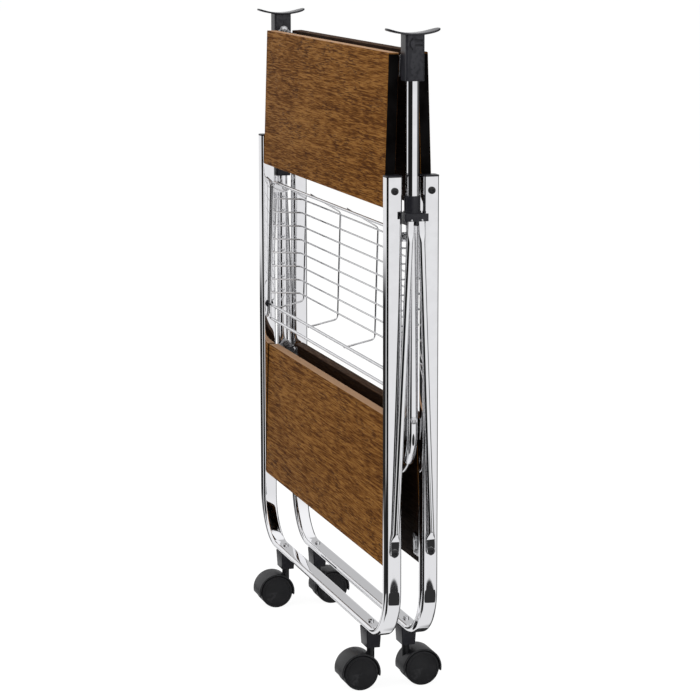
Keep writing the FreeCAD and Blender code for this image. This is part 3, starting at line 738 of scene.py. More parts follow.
class MaterialWriter(NodeWriter):
    """Writes one material."""

    def __init__(self, name: str, groups: ShaderGroups) -> None:
        """Start the material.

        Args:
            name: Name of the material.
            groups: The shared node groups.
        """
        self.groups = groups
        self.material = bpy.data.materials.new(name)
        self.material.use_nodes = True
        super().__init__(self.material.node_tree)

    def use(self, group: Any, values: dict[str, float]) -> Any:
        """Place a group, fed with Object coordinates, and return its outputs."""
        place = self.node("ShaderNodeTexCoord").outputs["Object"]
        return self.node("ShaderNodeGroup", {"Place": place, **values}, node_tree=group).outputs

    def speckle(self, scale: float, low: float, high: float) -> Any:
        """Fine noise between two limits, as the outputs Value and Height."""
        return self.use(self.groups.speckle, {"Scale": scale, "Low": low, "High": high})

    def worn(self, wear: Wear, color: Any, rubbed: Triple) -> Any:
        """Rub a colour on outer edges.

        Args:
            wear: How edges are rubbed.
            color: The colour or its socket.
            rubbed: The colour of rubbed edges.

        Returns:
            Socket with the colour.
        """
        mask = self.use(self.groups.edge_wear, {"Sharpness": wear.sharpness,
                                                "Breakup Scale": wear.breakup_scale})["Mask"]
        return self.blend(self.math("MULTIPLY", mask, wear.strength), color, opaque(rubbed))

    def relief(self, height: Any, distance: float) -> Any:
        """Surface normal of a fine relief."""
        return self.first("ShaderNodeBump", {"Height": height, "Distance": distance})

    def finish(self, inputs: dict[str, Any]) -> None:
        """Add the Principled shader with its inputs, and the material's output."""
        self.node("ShaderNodeOutputMaterial", {0: self.first("ShaderNodeBsdfPrincipled", inputs)})


@dataclass(frozen=True)
class ChromeFinish:
    """Bright chrome plating."""

    color: Triple = (0.93, 0.93, 0.94)
    roughness_low: float = 0.008
    roughness_high: float = 0.02
    haze_scale: float = 35.0
    dull_share: float = 0.7
    wear: Wear = Wear(0.08, 60.0, 0.25)

    def paint(self, writer: MaterialWriter) -> None:
        """Write the material.

        Args:
            writer: The material's writer.
        """
        haze = writer.speckle(self.haze_scale, self.roughness_low, self.roughness_high)
        color = writer.worn(self.wear, opaque(self.color), changed(self.color, self.dull_share))
        writer.finish({"Base Color": color, "Metallic": 1.0, "Roughness": haze["Value"]})


@dataclass(frozen=True)
class MetalFinish:
    """Plated or blackened steel of small fittings."""

    color: Triple
    roughness: float
    metallic: float = 1.0
    roughness_shares: tuple[float, float] = (0.8, 1.25)
    rubbed_share: float = 1.5
    rubbed_lift: float = 0.08
    grain_scale: float = 900.0
    grain_height: float = 0.00002
    wear: Wear = Wear(0.05, 300.0, 0.5)

    def paint(self, writer: MaterialWriter) -> None:
        """Write the material.

        Args:
            writer: The material's writer.
        """
        grain = writer.speckle(self.grain_scale, *(self.roughness * share for share in self.roughness_shares))
        rubbed = changed(self.color, self.rubbed_share, self.rubbed_lift)
        writer.finish({"Base Color": writer.worn(self.wear, opaque(self.color), rubbed),
                       "Metallic": self.metallic, "Roughness": grain["Value"],
                       "Normal": writer.relief(grain["Height"], self.grain_height)})


@dataclass(frozen=True)
class PlasticFinish:
    """Moulded plastic with a fine spark-eroded texture."""

    color: Triple
    roughness: float
    specular: float
    roughness_shares: tuple[float, float] = (0.9, 1.15)
    cloud_share: float = 1.25
    cloud_lift: float = 0.004
    cloud_scale: float = 28.0
    rubbed_share: float = 1.8
    rubbed_lift: float = 0.02
    texture_scale: float = 1400.0
    texture_height: float = 0.00004
    wear: Wear = Wear(0.06, 180.0, 0.6)

    def paint(self, writer: MaterialWriter) -> None:
        """Write the material.

        Args:
            writer: The material's writer.
        """
        texture = writer.speckle(self.texture_scale,
                                 *(self.roughness * share for share in self.roughness_shares))
        cloud = writer.speckle(self.cloud_scale, 0.0, 1.0)["Value"]
        lighter = changed(self.color, self.cloud_share, self.cloud_lift)
        rubbed = changed(self.color, self.rubbed_share, self.rubbed_lift)
        mottled = writer.blend(cloud, opaque(self.color), opaque(lighter))
        writer.finish({"Base Color": writer.worn(self.wear, mottled, rubbed), "Roughness": texture["Value"],
                       "Specular IOR Level": self.specular,
                       "Normal": writer.relief(texture["Height"], self.texture_height)})


@dataclass(frozen=True)
class WoodFinish:
    """Brown stained laminate with fine grain along X and short dark flecks.

    Its long edges facing up and down get a painted highlight (painted shade in the rear copy), and its inner
    face gets painted shade.
    """

    dark: Triple = (0.064, 0.021, 0.003)
    middle: Triple = (0.152, 0.059, 0.010)
    light: Triple = (0.250, 0.112, 0.024)
    tone_stops: Triple = (0.1, 0.5, 0.9)
    fleck: Triple = (0.030, 0.008, 0.001)
    fleck_strength: float = 0.7
    # Painted highlight on the long edges that face up and down; the rear copy paints dark shade there
    # instead.
    edge_band: Triple = (0.400, 0.245, 0.145)
    edge_band_strength: float = 0.85
    # Painted shade on the inner face, which stands for the shade between the folded halves; the sign picks
    # which way that face looks along Y.
    underside: Triple = (0.008, 0.004, 0.003)
    underside_strength: float = 0.94
    underside_sign: float = 1.0
    roughness_low: float = 0.52
    roughness_high: float = 0.66
    grain_height: float = 0.00006
    specular: float = 0.03
    wear: Wear = Wear(0.05, 40.0, 0.35)

    def paint(self, writer: MaterialWriter) -> None:
        """Write the material.

        Args:
            writer: The material's writer.
        """
        grain = writer.use(writer.groups.grain, {})
        tone = writer.node("ShaderNodeValToRGB", {0: grain["Tone"]})
        stops = tone.color_ramp.elements
        stops.new(self.tone_stops[1])
        for stop, place, color in zip(stops, self.tone_stops, (self.dark, self.middle, self.light)):
            stop.position = place
            stop.color = opaque(color)
        flecks = writer.math("MULTIPLY", grain["Fleck"], self.fleck_strength)
        color = writer.worn(self.wear, writer.blend(flecks, tone.outputs[0], opaque(self.fleck)), self.light)
        facing = writer.node("ShaderNodeTexCoord").outputs["Normal"]
        _, toward_y, toward_z = writer.node("ShaderNodeSeparateXYZ", {0: facing}).outputs
        # Mask of the long edges that face up and down, which get the painted highlight or painted shade.
        edge = writer.math("ABSOLUTE", toward_z)
        # Mask of the inner face, which gets the painted shade.
        below = writer.math("MULTIPLY", toward_y, self.underside_sign)
        facing_limits, tone_limits = (0.5, 0.9), (0.2, 0.8)
        # Blend the painted edge light, then the painted shade of the inner face, over the wood.
        for toward, strength, painted_light_color in ((edge, self.edge_band_strength, self.edge_band),
                                       (below, self.underside_strength, self.underside)):
            share = writer.math("MULTIPLY", writer.ramp(toward, *facing_limits), strength)
            color = writer.blend(share, color, opaque(painted_light_color))
        roughness = writer.ramp(grain["Tone"], *tone_limits, self.roughness_high, self.roughness_low)
        writer.finish({"Base Color": color, "Roughness": roughness, "Specular IOR Level": self.specular,
                       "Normal": writer.relief(grain["Height"], self.grain_height)})


@dataclass(frozen=True)
class Look:
    """A material and the record's slot that it stands for."""

    material: Any
    slot: str


class Palette:
    """Every look of the cart."""

    def __init__(self) -> None:
        """Build the materials."""
        groups = ShaderGroups()

        def look(finish: Any, name: str, slot: str) -> Look:
            """Build one finish as a look.

            Args:
                finish: The finish.
                name: Name of the material.
                slot: The record's slot.

            Returns:
                The look.
            """
            writer = MaterialWriter(name, groups)
            finish.paint(writer)
            return Look(writer.material, slot)

        black = (0.008, 0.008, 0.011)
        self.chrome = look(ChromeFinish(), "chrome_plate", "chrome_tube")
        self.wire = look(ChromeFinish(color=(0.84, 0.84, 0.85), roughness_low=0.02, roughness_high=0.06),
                         "chrome_wire", "chrome_wire")
        # Both copies paint shade on their inner faces; the front paints a highlight on its up- and
        # down-facing edges, the rear paints shade there.
        self.wood = {
            Row.FRONT: look(WoodFinish(), "brown_laminate_front", "shelf_wood"),
            Row.REAR: look(WoodFinish(edge_band=(0.012, 0.006, 0.004), underside_sign=-1.0),
                           "brown_laminate_rear", "shelf_wood")}
        self.strip = look(PlasticFinish((0.0006, 0.0002, 0.0002), roughness=0.5, specular=0.03),
                          "black_edging", "edge_strip")
        self.moulding = look(PlasticFinish(black, roughness=0.34, specular=0.31), "black_moulding",
                             "moulded_plastic")
        self.glossy_moulding = look(PlasticFinish(black, roughness=0.14, specular=0.5),
                                    "glossy_black_moulding", "moulded_plastic")
        self.hood = look(PlasticFinish((0.005, 0.005, 0.006), roughness=0.44, specular=0.36),
                         "caster_hood_plastic", "hood_plastic")
        self.wheel = look(PlasticFinish((0.006, 0.006, 0.007), roughness=0.5, specular=0.25),
                          "caster_wheel_nylon", "wheel_plastic")
        self.zinc = look(MetalFinish((0.7, 0.7, 0.71), roughness=0.24), "bright_zinc", "bright_screw")
        self.bracket = look(MetalFinish((0.5, 0.5, 0.51), roughness=0.3), "zinc_plate", "bracket_steel")
        self.black_steel = look(MetalFinish((0.02, 0.02, 0.021), roughness=0.32, metallic=0.5),
                                "black_oxide", "black_screw")


class Workshop:
    """Makes, dresses and reports the pieces of the cart."""

    def __init__(self) -> None:
        """Build the trees and the materials."""
        self.trees = GeometryTrees()
        self.looks = Palette()

    @staticmethod
    def hand_in(made: Any, look: Look, body: str, node: str, sharp: float = SHARP_ANGLE) -> None:
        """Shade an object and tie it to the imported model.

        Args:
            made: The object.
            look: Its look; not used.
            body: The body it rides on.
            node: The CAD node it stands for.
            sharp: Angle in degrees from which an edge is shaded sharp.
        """
        mesh = made.data
        mesh.polygons.foreach_set("use_smooth", [True] * len(mesh.polygons))
        mesh.set_sharp_from_angle(angle=math.radians(sharp))
        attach(made, body)
        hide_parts(node)
        LOG.info("%s: %d faces on %s", made.name, len(mesh.polygons), body)

    def piece(self, name: str, shell: Shell, look: Look, body: str, node: str,
              sharp: float = SHARP_ANGLE) -> None:
        """Make one finished piece from closed surfaces.

        Args:
            name: Name of the piece.
            shell: Its surfaces.
            look: Its look.
            body: The body it rides on.
            node: The CAD node it stands for.
            sharp: Angle in degrees from which an edge is shaded sharp.
        """
        made = mesh_object(name, shell.points, faces=shell.faces)
        merge(made.data, lambda work: bmesh.ops.recalc_face_normals(work, faces=work.faces))
        made.data.materials.append(look.material)
        self.hand_in(made, look, body, node, sharp)

    def dressed(self, name: str, node: str, look: Look, body: str, edge: float = 0.0004) -> None:
        """Make a finished piece from a CAD node, with its sharp edges rounded.

        Args:
            name: Name of the piece.
            node: The CAD node.
            look: Its look.
            body: The body it rides on.
            edge: Radius of the rounded edges.
        """
        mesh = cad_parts[node].data.copy()
        mesh.materials.clear()
        mesh.materials.append(look.material)
        merge(mesh, lambda work: bmesh.ops.dissolve_limit(work, angle_limit=FLAT_ANGLE, verts=work.verts,
                                                          edges=work.edges))
        source = linked(name + "_source", mesh)
        rounding = source.modifiers.new("rounding", "BEVEL")
        rounding.width = edge
        rounding.segments = ROUNDING_SEGMENTS
        rounding.limit_method = "ANGLE"
        rounding.angle_limit = ROUNDED_ANGLE
        rounding.use_clamp_overlap = True
        self.hand_in(linked(name, evaluated_mesh(source)), look, body, node)

    def swept(self, paths: Sequence[np.ndarray], section: np.ndarray, bend: float, steps: int, look: Look,
              side: Triple = (0.0, 1.0, 0.0), closed: bool = False) -> Shell:
        """Sweep a section along paths with rounded corners.

        Args:
            paths: Corner points of each path.
            section: Points of the section in its own XY plane.
            bend: Radius of the corners' centre line.
            steps: Segments in each corner.
            look: Look of the surfaces.
            side: Direction of the section's X axis.
            closed: True where each path returns to its start.

        Returns:
            The swept surfaces.
        """
        edges: list[tuple[int, int]] = []
        start = 0
        for path in paths:
            edges.extend((start + index, start + index + 1) for index in range(len(path) - 1))
            if closed:
                edges.append((start + len(path) - 1, start))
            start += len(path)
        around = [(index, (index + 1) % len(section)) for index in range(len(section))]
        return run_tree(self.trees.sweep, mesh_object("paths", np.vstack(paths), edges),
                        {"Section": mesh_object("section", section, around), "Bend Radius": bend,
                         "Bend Steps": steps, "Side": side, "Finish": look.material})

    def repeated(self, shape: Shell, places: Sequence[Placement], look: Look) -> Shell:
        """Place copies of a shape.

        Args:
            shape: The shape, standing on Z = 0.
            places: Where the copies go.
            look: Look of the copies.

        Returns:
            The copies as one shell.
        """
        source = mesh_object("places", [place.point for place in places])
        turn = source.data.attributes.new("turn", "FLOAT_VECTOR", "POINT")
        size = source.data.attributes.new("size", "FLOAT_VECTOR", "POINT")
        for index, place in enumerate(places):
            turn.data[index].vector = place.turn
            size.data[index].vector = place.size
        return run_tree(self.trees.place, source,
                        {"Shape": mesh_object("shape", shape.points, faces=shape.faces),
                         "Finish": look.material})

    def fitted(self, look: Look, *sets: tuple[Shell, Sequence[Placement]]) -> Shell:
        """Place copies of several shapes, each with its own places."""
        return Shell.joined(self.repeated(shape, places, look) for shape, places in sets)


@dataclass
class Assembly:
    """A sub-assembly of the cart, made in the workshop."""

    shop: Workshop

    @property
    def looks(self) -> Palette:
        """The looks of the cart."""
        return self.shop.looks


def crowned_section(half_x: float, half_y: float, corner: float, crown: float, steps: int = 8) -> np.ndarray:
    """A rounded rectangle whose flats are very slightly crowned, as drawn tube is.

    Args:
        half_x: Half its size along X.
        half_y: Half its size along Y.
        corner: Corner radius.
        crown: Rise of each flat at its middle.
        steps: Segments in each flat.

    Returns:
        Points of the section.
    """
    corners = rounded_loop(half_x - crown, half_y - crown, corner, steps=7)
    quarter = len(corners) // 4
    points: list[np.ndarray] = []
    for index, first in enumerate(corners):
        points.append(first)
        if index % quarter < quarter - 1:
            continue
        last = corners[(index + 1) % len(corners)]
        outward = (first + last) / 2
        axis = np.zeros(3)
        main = int(np.argmax(np.abs(outward)))
        axis[main] = np.sign(outward[main])
        for step in range(1, steps):
            share = step / steps
            rise = crown * 4 * share * (1 - share)
            points.append(first + (last - first) * share + axis * rise)
    return np.array(points)


def unit_shank() -> Shell:
    """A screw shank of unit length."""
    return lathe([(SHANK_RADIUS, 0.0), (SHANK_RADIUS, 1.0)], steps=20)


@dataclass
class UFrame(Assembly):
    """A front or rear U frame with its plugs, screws and caster sockets."""

    row: Row
    top_z: float = 0.802
    low_z: float = 0.0935
    bar_top: float = 0.1035
    outer_x: float = 0.370
    inner_x: float = 0.348
    half_depth: float = 0.0125
    corner: float = 0.0045
    crown: float = 0.00018
    outer_bend: float = 0.086
    inner_bend: float = 0.070
    bend_steps: int = 32
    strut_seat_x: float = 0.3736
    screw_tip_x: float = 0.338
    caster_x: float = 0.250
    socket_bottom: float = 0.0655
    socket_edge: float = 0.0009
    washer_radius: float = 0.00675
    washer_thickness: float = 0.0016
    washer_edge: float = 0.0003
    stem_radius: float = 0.004
    stem_low: float = 0.053
    stem_edge: float = 0.0004

    @property
    def body(self) -> str:
        """The body of this frame."""
        return self.row.label + "_frame"

    @property
    def y(self) -> float:
        """Middle plane of the frame."""
        return self.row.value * LINKS.half_gap

    def build(self) -> None:
        """Make every piece of the frame."""
        self.tube()
        self.screws()
        self.stems()
        label, look = self.row.label, self.looks.moulding
        self.shop.dressed(label + "_leg_caps", label + "_frame_plugs", look, self.body)
        self.shop.dressed(label + "_stem_sockets", label + "_caster_sockets", look, self.body,
                          self.socket_edge)

    def tube(self) -> None:
        """Loft the chrome tube round its U, its bar flatter than its legs."""
        loops = []
        for outer, inner in self.stations():
            across = outer - inner
            width = float(np.linalg.norm(across))
            section = crowned_section(self.half_depth, width / 2, self.corner, self.crown)
            x, z = (outer + inner)[:, None] / 2 + across[:, None] / width * section[:, 1]
            loops.append(np.column_stack([x, self.y + section[:, 0], z]))
        self.shop.piece(self.row.label + "_chrome_u_tube", stacked_loops(loops), self.looks.chrome, self.body,
                        self.row.label + "_frame_tube", sharp=WIDE_SHARP_ANGLE)

    def stations(self) -> list[tuple[np.ndarray, np.ndarray]]:
        """Matching points of the tube's outer and inner outlines in XZ, from leg top to leg top."""
        outer_middle = np.array([self.outer_x - self.outer_bend, self.low_z + self.outer_bend])
        inner_middle = np.array([self.inner_x - self.inner_bend, self.bar_top + self.inner_bend])
        half = [(np.array([self.outer_x, self.top_z]), np.array([self.inner_x, self.top_z]))]
        for sine, cosine in quarter_turn(self.bend_steps):
            turn = np.array([cosine, -sine])
            half.append((outer_middle + self.outer_bend * turn, inner_middle + self.inner_bend * turn))
        flip = np.array([-1.0, 1.0])
        return [(outer * flip, inner * flip) for outer, inner in half] + half[::-1]

    def screws(self) -> None:
        """Place the pivot screws with their shanks."""
        heads, shanks = [], []
        for end in End:
            outward = (float(end.value), 0.0, 0.0)
            for pivot_z, seat in ((LINKS.upper_z, self.outer_x), (LINKS.lower_z, self.strut_seat_x)):
                heads.append(Placement((end.value * seat, self.y, pivot_z), outward))
                shanks.append(Placement((end.value * self.screw_tip_x, self.y, pivot_z), outward,
                                        (1.0, 1.0, seat - self.screw_tip_x)))
        look = self.looks.black_steel
        self.shop.piece(self.row.label + "_socket_screws",
                        self.shop.fitted(look, (PIVOT_HEAD.build(), heads), (unit_shank(), shanks)), look,
                        self.body, self.row.label + "_pivot_screws")

    def stems(self) -> None:
        """Turn the caster stems with their heads and washers."""
        washer_low = self.socket_bottom - self.washer_thickness
        stem = Shell.joined([
            pin(self.stem_radius, self.stem_low, self.bar_top, self.stem_edge, steps=24),
            pin(self.washer_radius, washer_low, self.socket_bottom, self.washer_edge, steps=32),
            STEM_HEAD.build().shifted((0.0, 0.0, self.bar_top))])
        places = [Placement((end.value * self.caster_x, self.y, 0.0), (0.0, 0.0, 1.0)) for end in End]
        self.shop.piece(self.row.label + "_stem_bolts", self.shop.repeated(stem, places, self.looks.zinc),
                        self.looks.zinc, self.body, self.row.label + "_caster_stems")


@dataclass
class CentreFrame(Assembly):
    """The lifting centre frame with its pivots and T handles."""

    body: str = "centre_frame"
    post_x: float = 0.365
    post_radius: float = 0.0095
    top_z: float = 1.0
    bar_z: float = 0.354
    bend: float = 0.07
    bend_steps: int = 28
    nut_x: float = 0.3452
    nut_radius: float = 0.0056
    nut_height: float = 0.003
    fine_edge: float = 0.0003
    grip_edge: float = 0.0006

    def build(self) -> None:
        """Make every piece of the centre frame."""
        self.tube()
        self.screws()
        dressed, looks = self.shop.dressed, self.looks
        dressed("pivot_bushes", "centre_spacers", looks.moulding, self.body, self.fine_edge)
        dressed("basket_pivot_pins", "basket_inner_pins", looks.zinc, self.body, self.fine_edge)
        for end in End:
            dressed(f"handle_grip_{end.label}", f"handle_block_{end.label}", looks.moulding, self.body,
                    self.grip_edge)
            dressed(f"handle_top_{end.label}", f"handle_plate_{end.label}", looks.glossy_moulding, self.body)

    def tube(self) -> None:
        """Sweep the round chrome tube."""
        path = np.array([(-self.post_x, 0, self.top_z), (-self.post_x, 0, self.bar_z),
                         (self.post_x, 0, self.bar_z), (self.post_x, 0, self.top_z)])
        section = ring(self.post_radius, 0.0, steps=40)
        shell = self.shop.swept([path], section, self.bend, self.bend_steps, self.looks.chrome)
        self.shop.piece("centre_chrome_u_tube", shell, self.looks.chrome, self.body, "centre_frame_tube",
                        sharp=WIDE_SHARP_ANGLE)

    def screws(self) -> None:
        """Place the shoulder screws, their shanks and the nuts."""
        low_z, high_z = LINKS.lower_z + LINKS.rise, LINKS.upper_z + LINKS.rise
        outer = self.post_x + self.post_radius
        heads, nuts, shanks = [], [], []
        for end in End:
            side = float(end.value)
            outward, inward = (side, 0.0, 0.0), (-side, 0.0, 0.0)
            low, high = ((side * self.nut_x, 0.0, height) for height in (low_z, high_z))
            heads.append(Placement((side * outer, 0.0, low_z), outward))
            heads.append(Placement(high, inward))
            nuts.append(Placement(low, inward))
            shanks.append(Placement(low, outward, (1.0, 1.0, outer - self.nut_x)))
            shanks.append(Placement(high, outward, (1.0, 1.0, self.post_x - self.nut_x)))
        nut = stacked_loops([ring(self.nut_radius, height, steps=6) for height in (0.0, self.nut_height)])
        shell = self.shop.fitted(self.looks.zinc, (PIVOT_HEAD.build(), heads), (nut, nuts),
                                 (unit_shank(), shanks))
        self.shop.piece("centre_shoulder_screws", shell, self.looks.zinc, self.body, "centre_pivot_screws")


@dataclass
class HalfShelf(Assembly):
    """One half shelf with its edging, brackets and screws."""

    tier: Tier
    row: Row
    end_x: float = 0.344
    overhang: float = 0.027
    centre_gap: float = 0.0008
    half_thickness: float = 0.00825
    corner: float = 0.0025
    edge: float = 0.0008
    strip_thickness: float = 0.0015
    strip_corner: float = 0.0008
    strip_edge: float = 0.0005
    screw_x: float = 0.332
    bracket_thickness: float = 0.002
    bracket_edge: float = 0.0003
    outer_pitch: float = 0.0218
    inner_pitch: float = 0.018
    inner_setback: float = 0.010

    @property
    def label(self) -> str:
        """Name used in bodies and nodes."""
        return f"{self.tier.value}_{self.row.label}"

    @property
    def body(self) -> str:
        """The body of this half shelf."""
        return self.label + "_shelf"

    def folded(self, points: np.ndarray) -> np.ndarray:
        """Points of the level half shelf where they are in the folded cart."""
        return LINKS.fold(points, LINKS.pivot_z(self.tier), self.row)

    def build(self) -> None:
        """Make every piece of the half shelf."""
        inner = LINKS.along - self.centre_gap
        middle, half = (inner - self.overhang) / 2, (inner + self.overhang) / 2
        board = slab(self.end_x, half, -self.half_thickness, self.half_thickness, self.corner, self.edge)
        board = board.shifted((0.0, middle, 0.0)).moved(self.folded)
        self.shop.piece(self.label + "_laminate", board, self.looks.wood[self.row], self.body,
                        self.label + "_board", sharp=WIDE_SHARP_ANGLE)
        strip = slab(half - self.corner, self.half_thickness - self.edge, 0, self.strip_thickness,
                     self.strip_corner, self.strip_edge)
        strips = Shell.joined(strip.moved(lambda points: np.column_stack(
            [end.value * (self.end_x + points[:, 2]), middle + points[:, 0], points[:, 1]])) for end in End)
        self.shop.piece(self.label + "_edging", strips.moved(self.folded), self.looks.strip, self.body,
                        self.label + "_end_strips")
        self.shop.dressed(self.label + "_angle_plates", self.label + "_brackets", self.looks.bracket,
                          self.body, self.bracket_edge)
        self.screws()

    def screws(self) -> None:
        """Place the pan-headed screws under the brackets."""
        last = LINKS.along - self.inner_setback
        rows = (-self.outer_pitch / 2, self.outer_pitch / 2, last, last - self.inner_pitch)
        level = np.array([(end.value * self.screw_x, along, -self.half_thickness - self.bracket_thickness)
                          for along in rows for end in End])
        spots, tips = self.folded(level), self.folded(level - np.array([0, 0, 1.0]))
        places = [Placement(tuple(spot), tuple(tip - spot)) for spot, tip in zip(spots, tips)]
        self.shop.piece(self.label + "_pan_screws",
                        self.shop.repeated(PAN_HEAD.build(), places, self.looks.zinc), self.looks.zinc,
                        self.body, self.label + "_bracket_screws")


@dataclass
class Basket(Assembly):
    """The welded wire basket with the bushes it turns in."""

    body: str = "wire_basket"
    rim_radius: float = 0.0025
    wire_radius: float = 0.0015
    depth: float = 0.049
    rim_outer: float = -0.0235
    rim_past_pivot: float = 0.0115
    end_x: float = 0.343
    floor_x: float = 0.331
    floor_outer: float = 0.009
    floor_inner: float = 0.186
    rim_corner: float = 0.012
    rim_steps: int = 8
    rim_side: Triple = (0.0, 0.3, 1.0)
    wire_bend: float = 0.008
    wire_steps: int = 6
    wire_side: Triple = (0.3, 1.0, 0.2)
    long_wires: int = 8
    first_wire: float = 0.020
    wire_pitch: float = 0.0233
    cross_wires: int = 4
    cross_pitch: float = 0.208
    weld_sink: float = 0.0006
    weld_profile: Profile = ((0.0, -0.0011), (0.0013, -0.0008), (0.0019, 0.0), (0.0013, 0.0008),
                             (0.0, 0.0011))
    rim_weld_size: Triple = (1.3, 1.3, 1.3)
    axle_end: float = 0.3518
    tip: float = 0.0035
    tip_lift_share: float = 0.2
    tab_half_width: float = 0.007
    tab_outer_x: float = 0.3465
    tab_steps: int = 16
    bush_edge: float = 0.0003

    @property
    def under(self) -> float:
        """Height of the cross wires under the floor."""
        return -self.depth - 2 * self.wire_radius + self.weld_sink

    @property
    def long_places(self) -> list[float]:
        """Where the long wires lie across the basket."""
        return [self.first_wire + index * self.wire_pitch for index in range(self.long_wires)]

    @property
    def cross_places(self) -> list[float]:
        """Where the cross wires lie along X."""
        return [(index - (self.cross_wires - 1) / 2) * self.cross_pitch for index in range(self.cross_wires)]

    def build(self) -> None:
        """Make the basket and its bushes."""
        shell = Shell.joined([*self.wires(), self.welds(), *(self.tab(end) for end in End)])
        placed = shell.moved(lambda points: LINKS.fold(points, LINKS.basket_z, Row.FRONT))
        self.shop.piece("welded_wire_basket", placed, self.looks.wire, self.body, "wire_basket",
                        sharp=WIDE_SHARP_ANGLE)
        self.shop.dressed("basket_pivot_bushes", "basket_outer_bushes", self.looks.moulding, "front_frame",
                          self.bush_edge)

    def wires(self) -> list[Shell]:
        """The rim, the axle and the floor wires of the level basket."""
        inner = LINKS.along + self.rim_past_pivot
        lift = (self.rim_radius + self.wire_radius - self.weld_sink) * self.tip_lift_share
        rim = np.array([(-self.end_x, self.rim_outer, 0), (self.end_x, self.rim_outer, 0),
                        (self.end_x, inner, 0), (-self.end_x, inner, 0)])
        axle = np.array([(-self.axle_end, 0, 0), (self.axle_end, 0, 0)])
        runs = [np.array([(-self.end_x, along, 0), (-self.floor_x, along, -self.depth),
                          (self.floor_x, along, -self.depth), (self.end_x, along, 0)])
                for along in self.long_places]
        runs += [np.array([(x, -self.tip, -lift), (x, self.floor_outer, self.under),
                           (x, self.floor_inner, self.under), (x, inner + self.tip, lift)])
                 for x in self.cross_places]
        swept, look = self.shop.swept, self.looks.wire
        thick, thin = ring(self.rim_radius, 0.0, steps=16), ring(self.wire_radius, 0.0, steps=12)
        return [swept([rim], thick, self.rim_corner, self.rim_steps, look, self.rim_side, closed=True),
                swept([axle], thick, self.rim_corner, 1, look, self.rim_side),
                swept(runs, thin, self.wire_bend, self.wire_steps, look, self.wire_side)]

    def welds(self) -> Shell:
        """Small beads where wires are welded across each other."""
        height = (self.under - self.depth) / 2
        joints = [Placement((x, along, height), (0, 0, 1)) for x in self.cross_places
                  for along in self.long_places]
        joints += [Placement((end.value * self.end_x, along, 0), (0, 1, 0), self.rim_weld_size)
                   for end in End for along in self.long_places]
        return self.shop.repeated(lathe(self.weld_profile, steps=10), joints, self.looks.wire)

    def tab(self, end: End) -> Shell:
        """The tab that hangs the rim's inner end on the centre frame.

        Args:
            end: End of the basket.

        Returns:
            The tab on the level basket.
        """
        outline = [(LINKS.along + self.tab_half_width * math.cos(angle),
                    LINKS.up + self.tab_half_width * math.sin(angle))
                   for angle in np.linspace(-math.pi, 0, self.tab_steps + 1)]
        outline += [(LINKS.along + self.tab_half_width, 0.0), (LINKS.along - self.tab_half_width, 0.0)]
        return stacked_loops([np.array([(end.value * x, along, up) for along, up in outline])
                              for x in (self.end_x, self.tab_outer_x)])


@dataclass
class Slider(Assembly):
    """The block that slides on a post, with its rivet heads."""

    end: End
    lip_x: float = 0.3884
    edge: float = 0.0005
    rivet_profile: Profile = ((0.0018, 0.0), (0.0018, 0.0003), (0.0015, 0.0007), (0.0009, 0.0009),
                              (0.0, 0.001))

    def build(self) -> None:
        """Make the block and its rivets."""
        name = f"slider_{self.end.label}"
        self.shop.dressed(f"sliding_block_{self.end.label}", name, self.looks.moulding, name, self.edge)
        places = [Placement((self.end.value * self.lip_x, row.value * LINKS.rivet_half_gap, LINKS.rivet_z),
                            (float(self.end.value), 0.0, 0.0)) for row in Row]
        shell = self.shop.repeated(lathe(self.rivet_profile, steps=20), places, self.looks.zinc)
        self.shop.piece(f"rivet_heads_{self.end.label}", shell, self.looks.zinc, name,
                        f"slider_rivets_{self.end.label}")


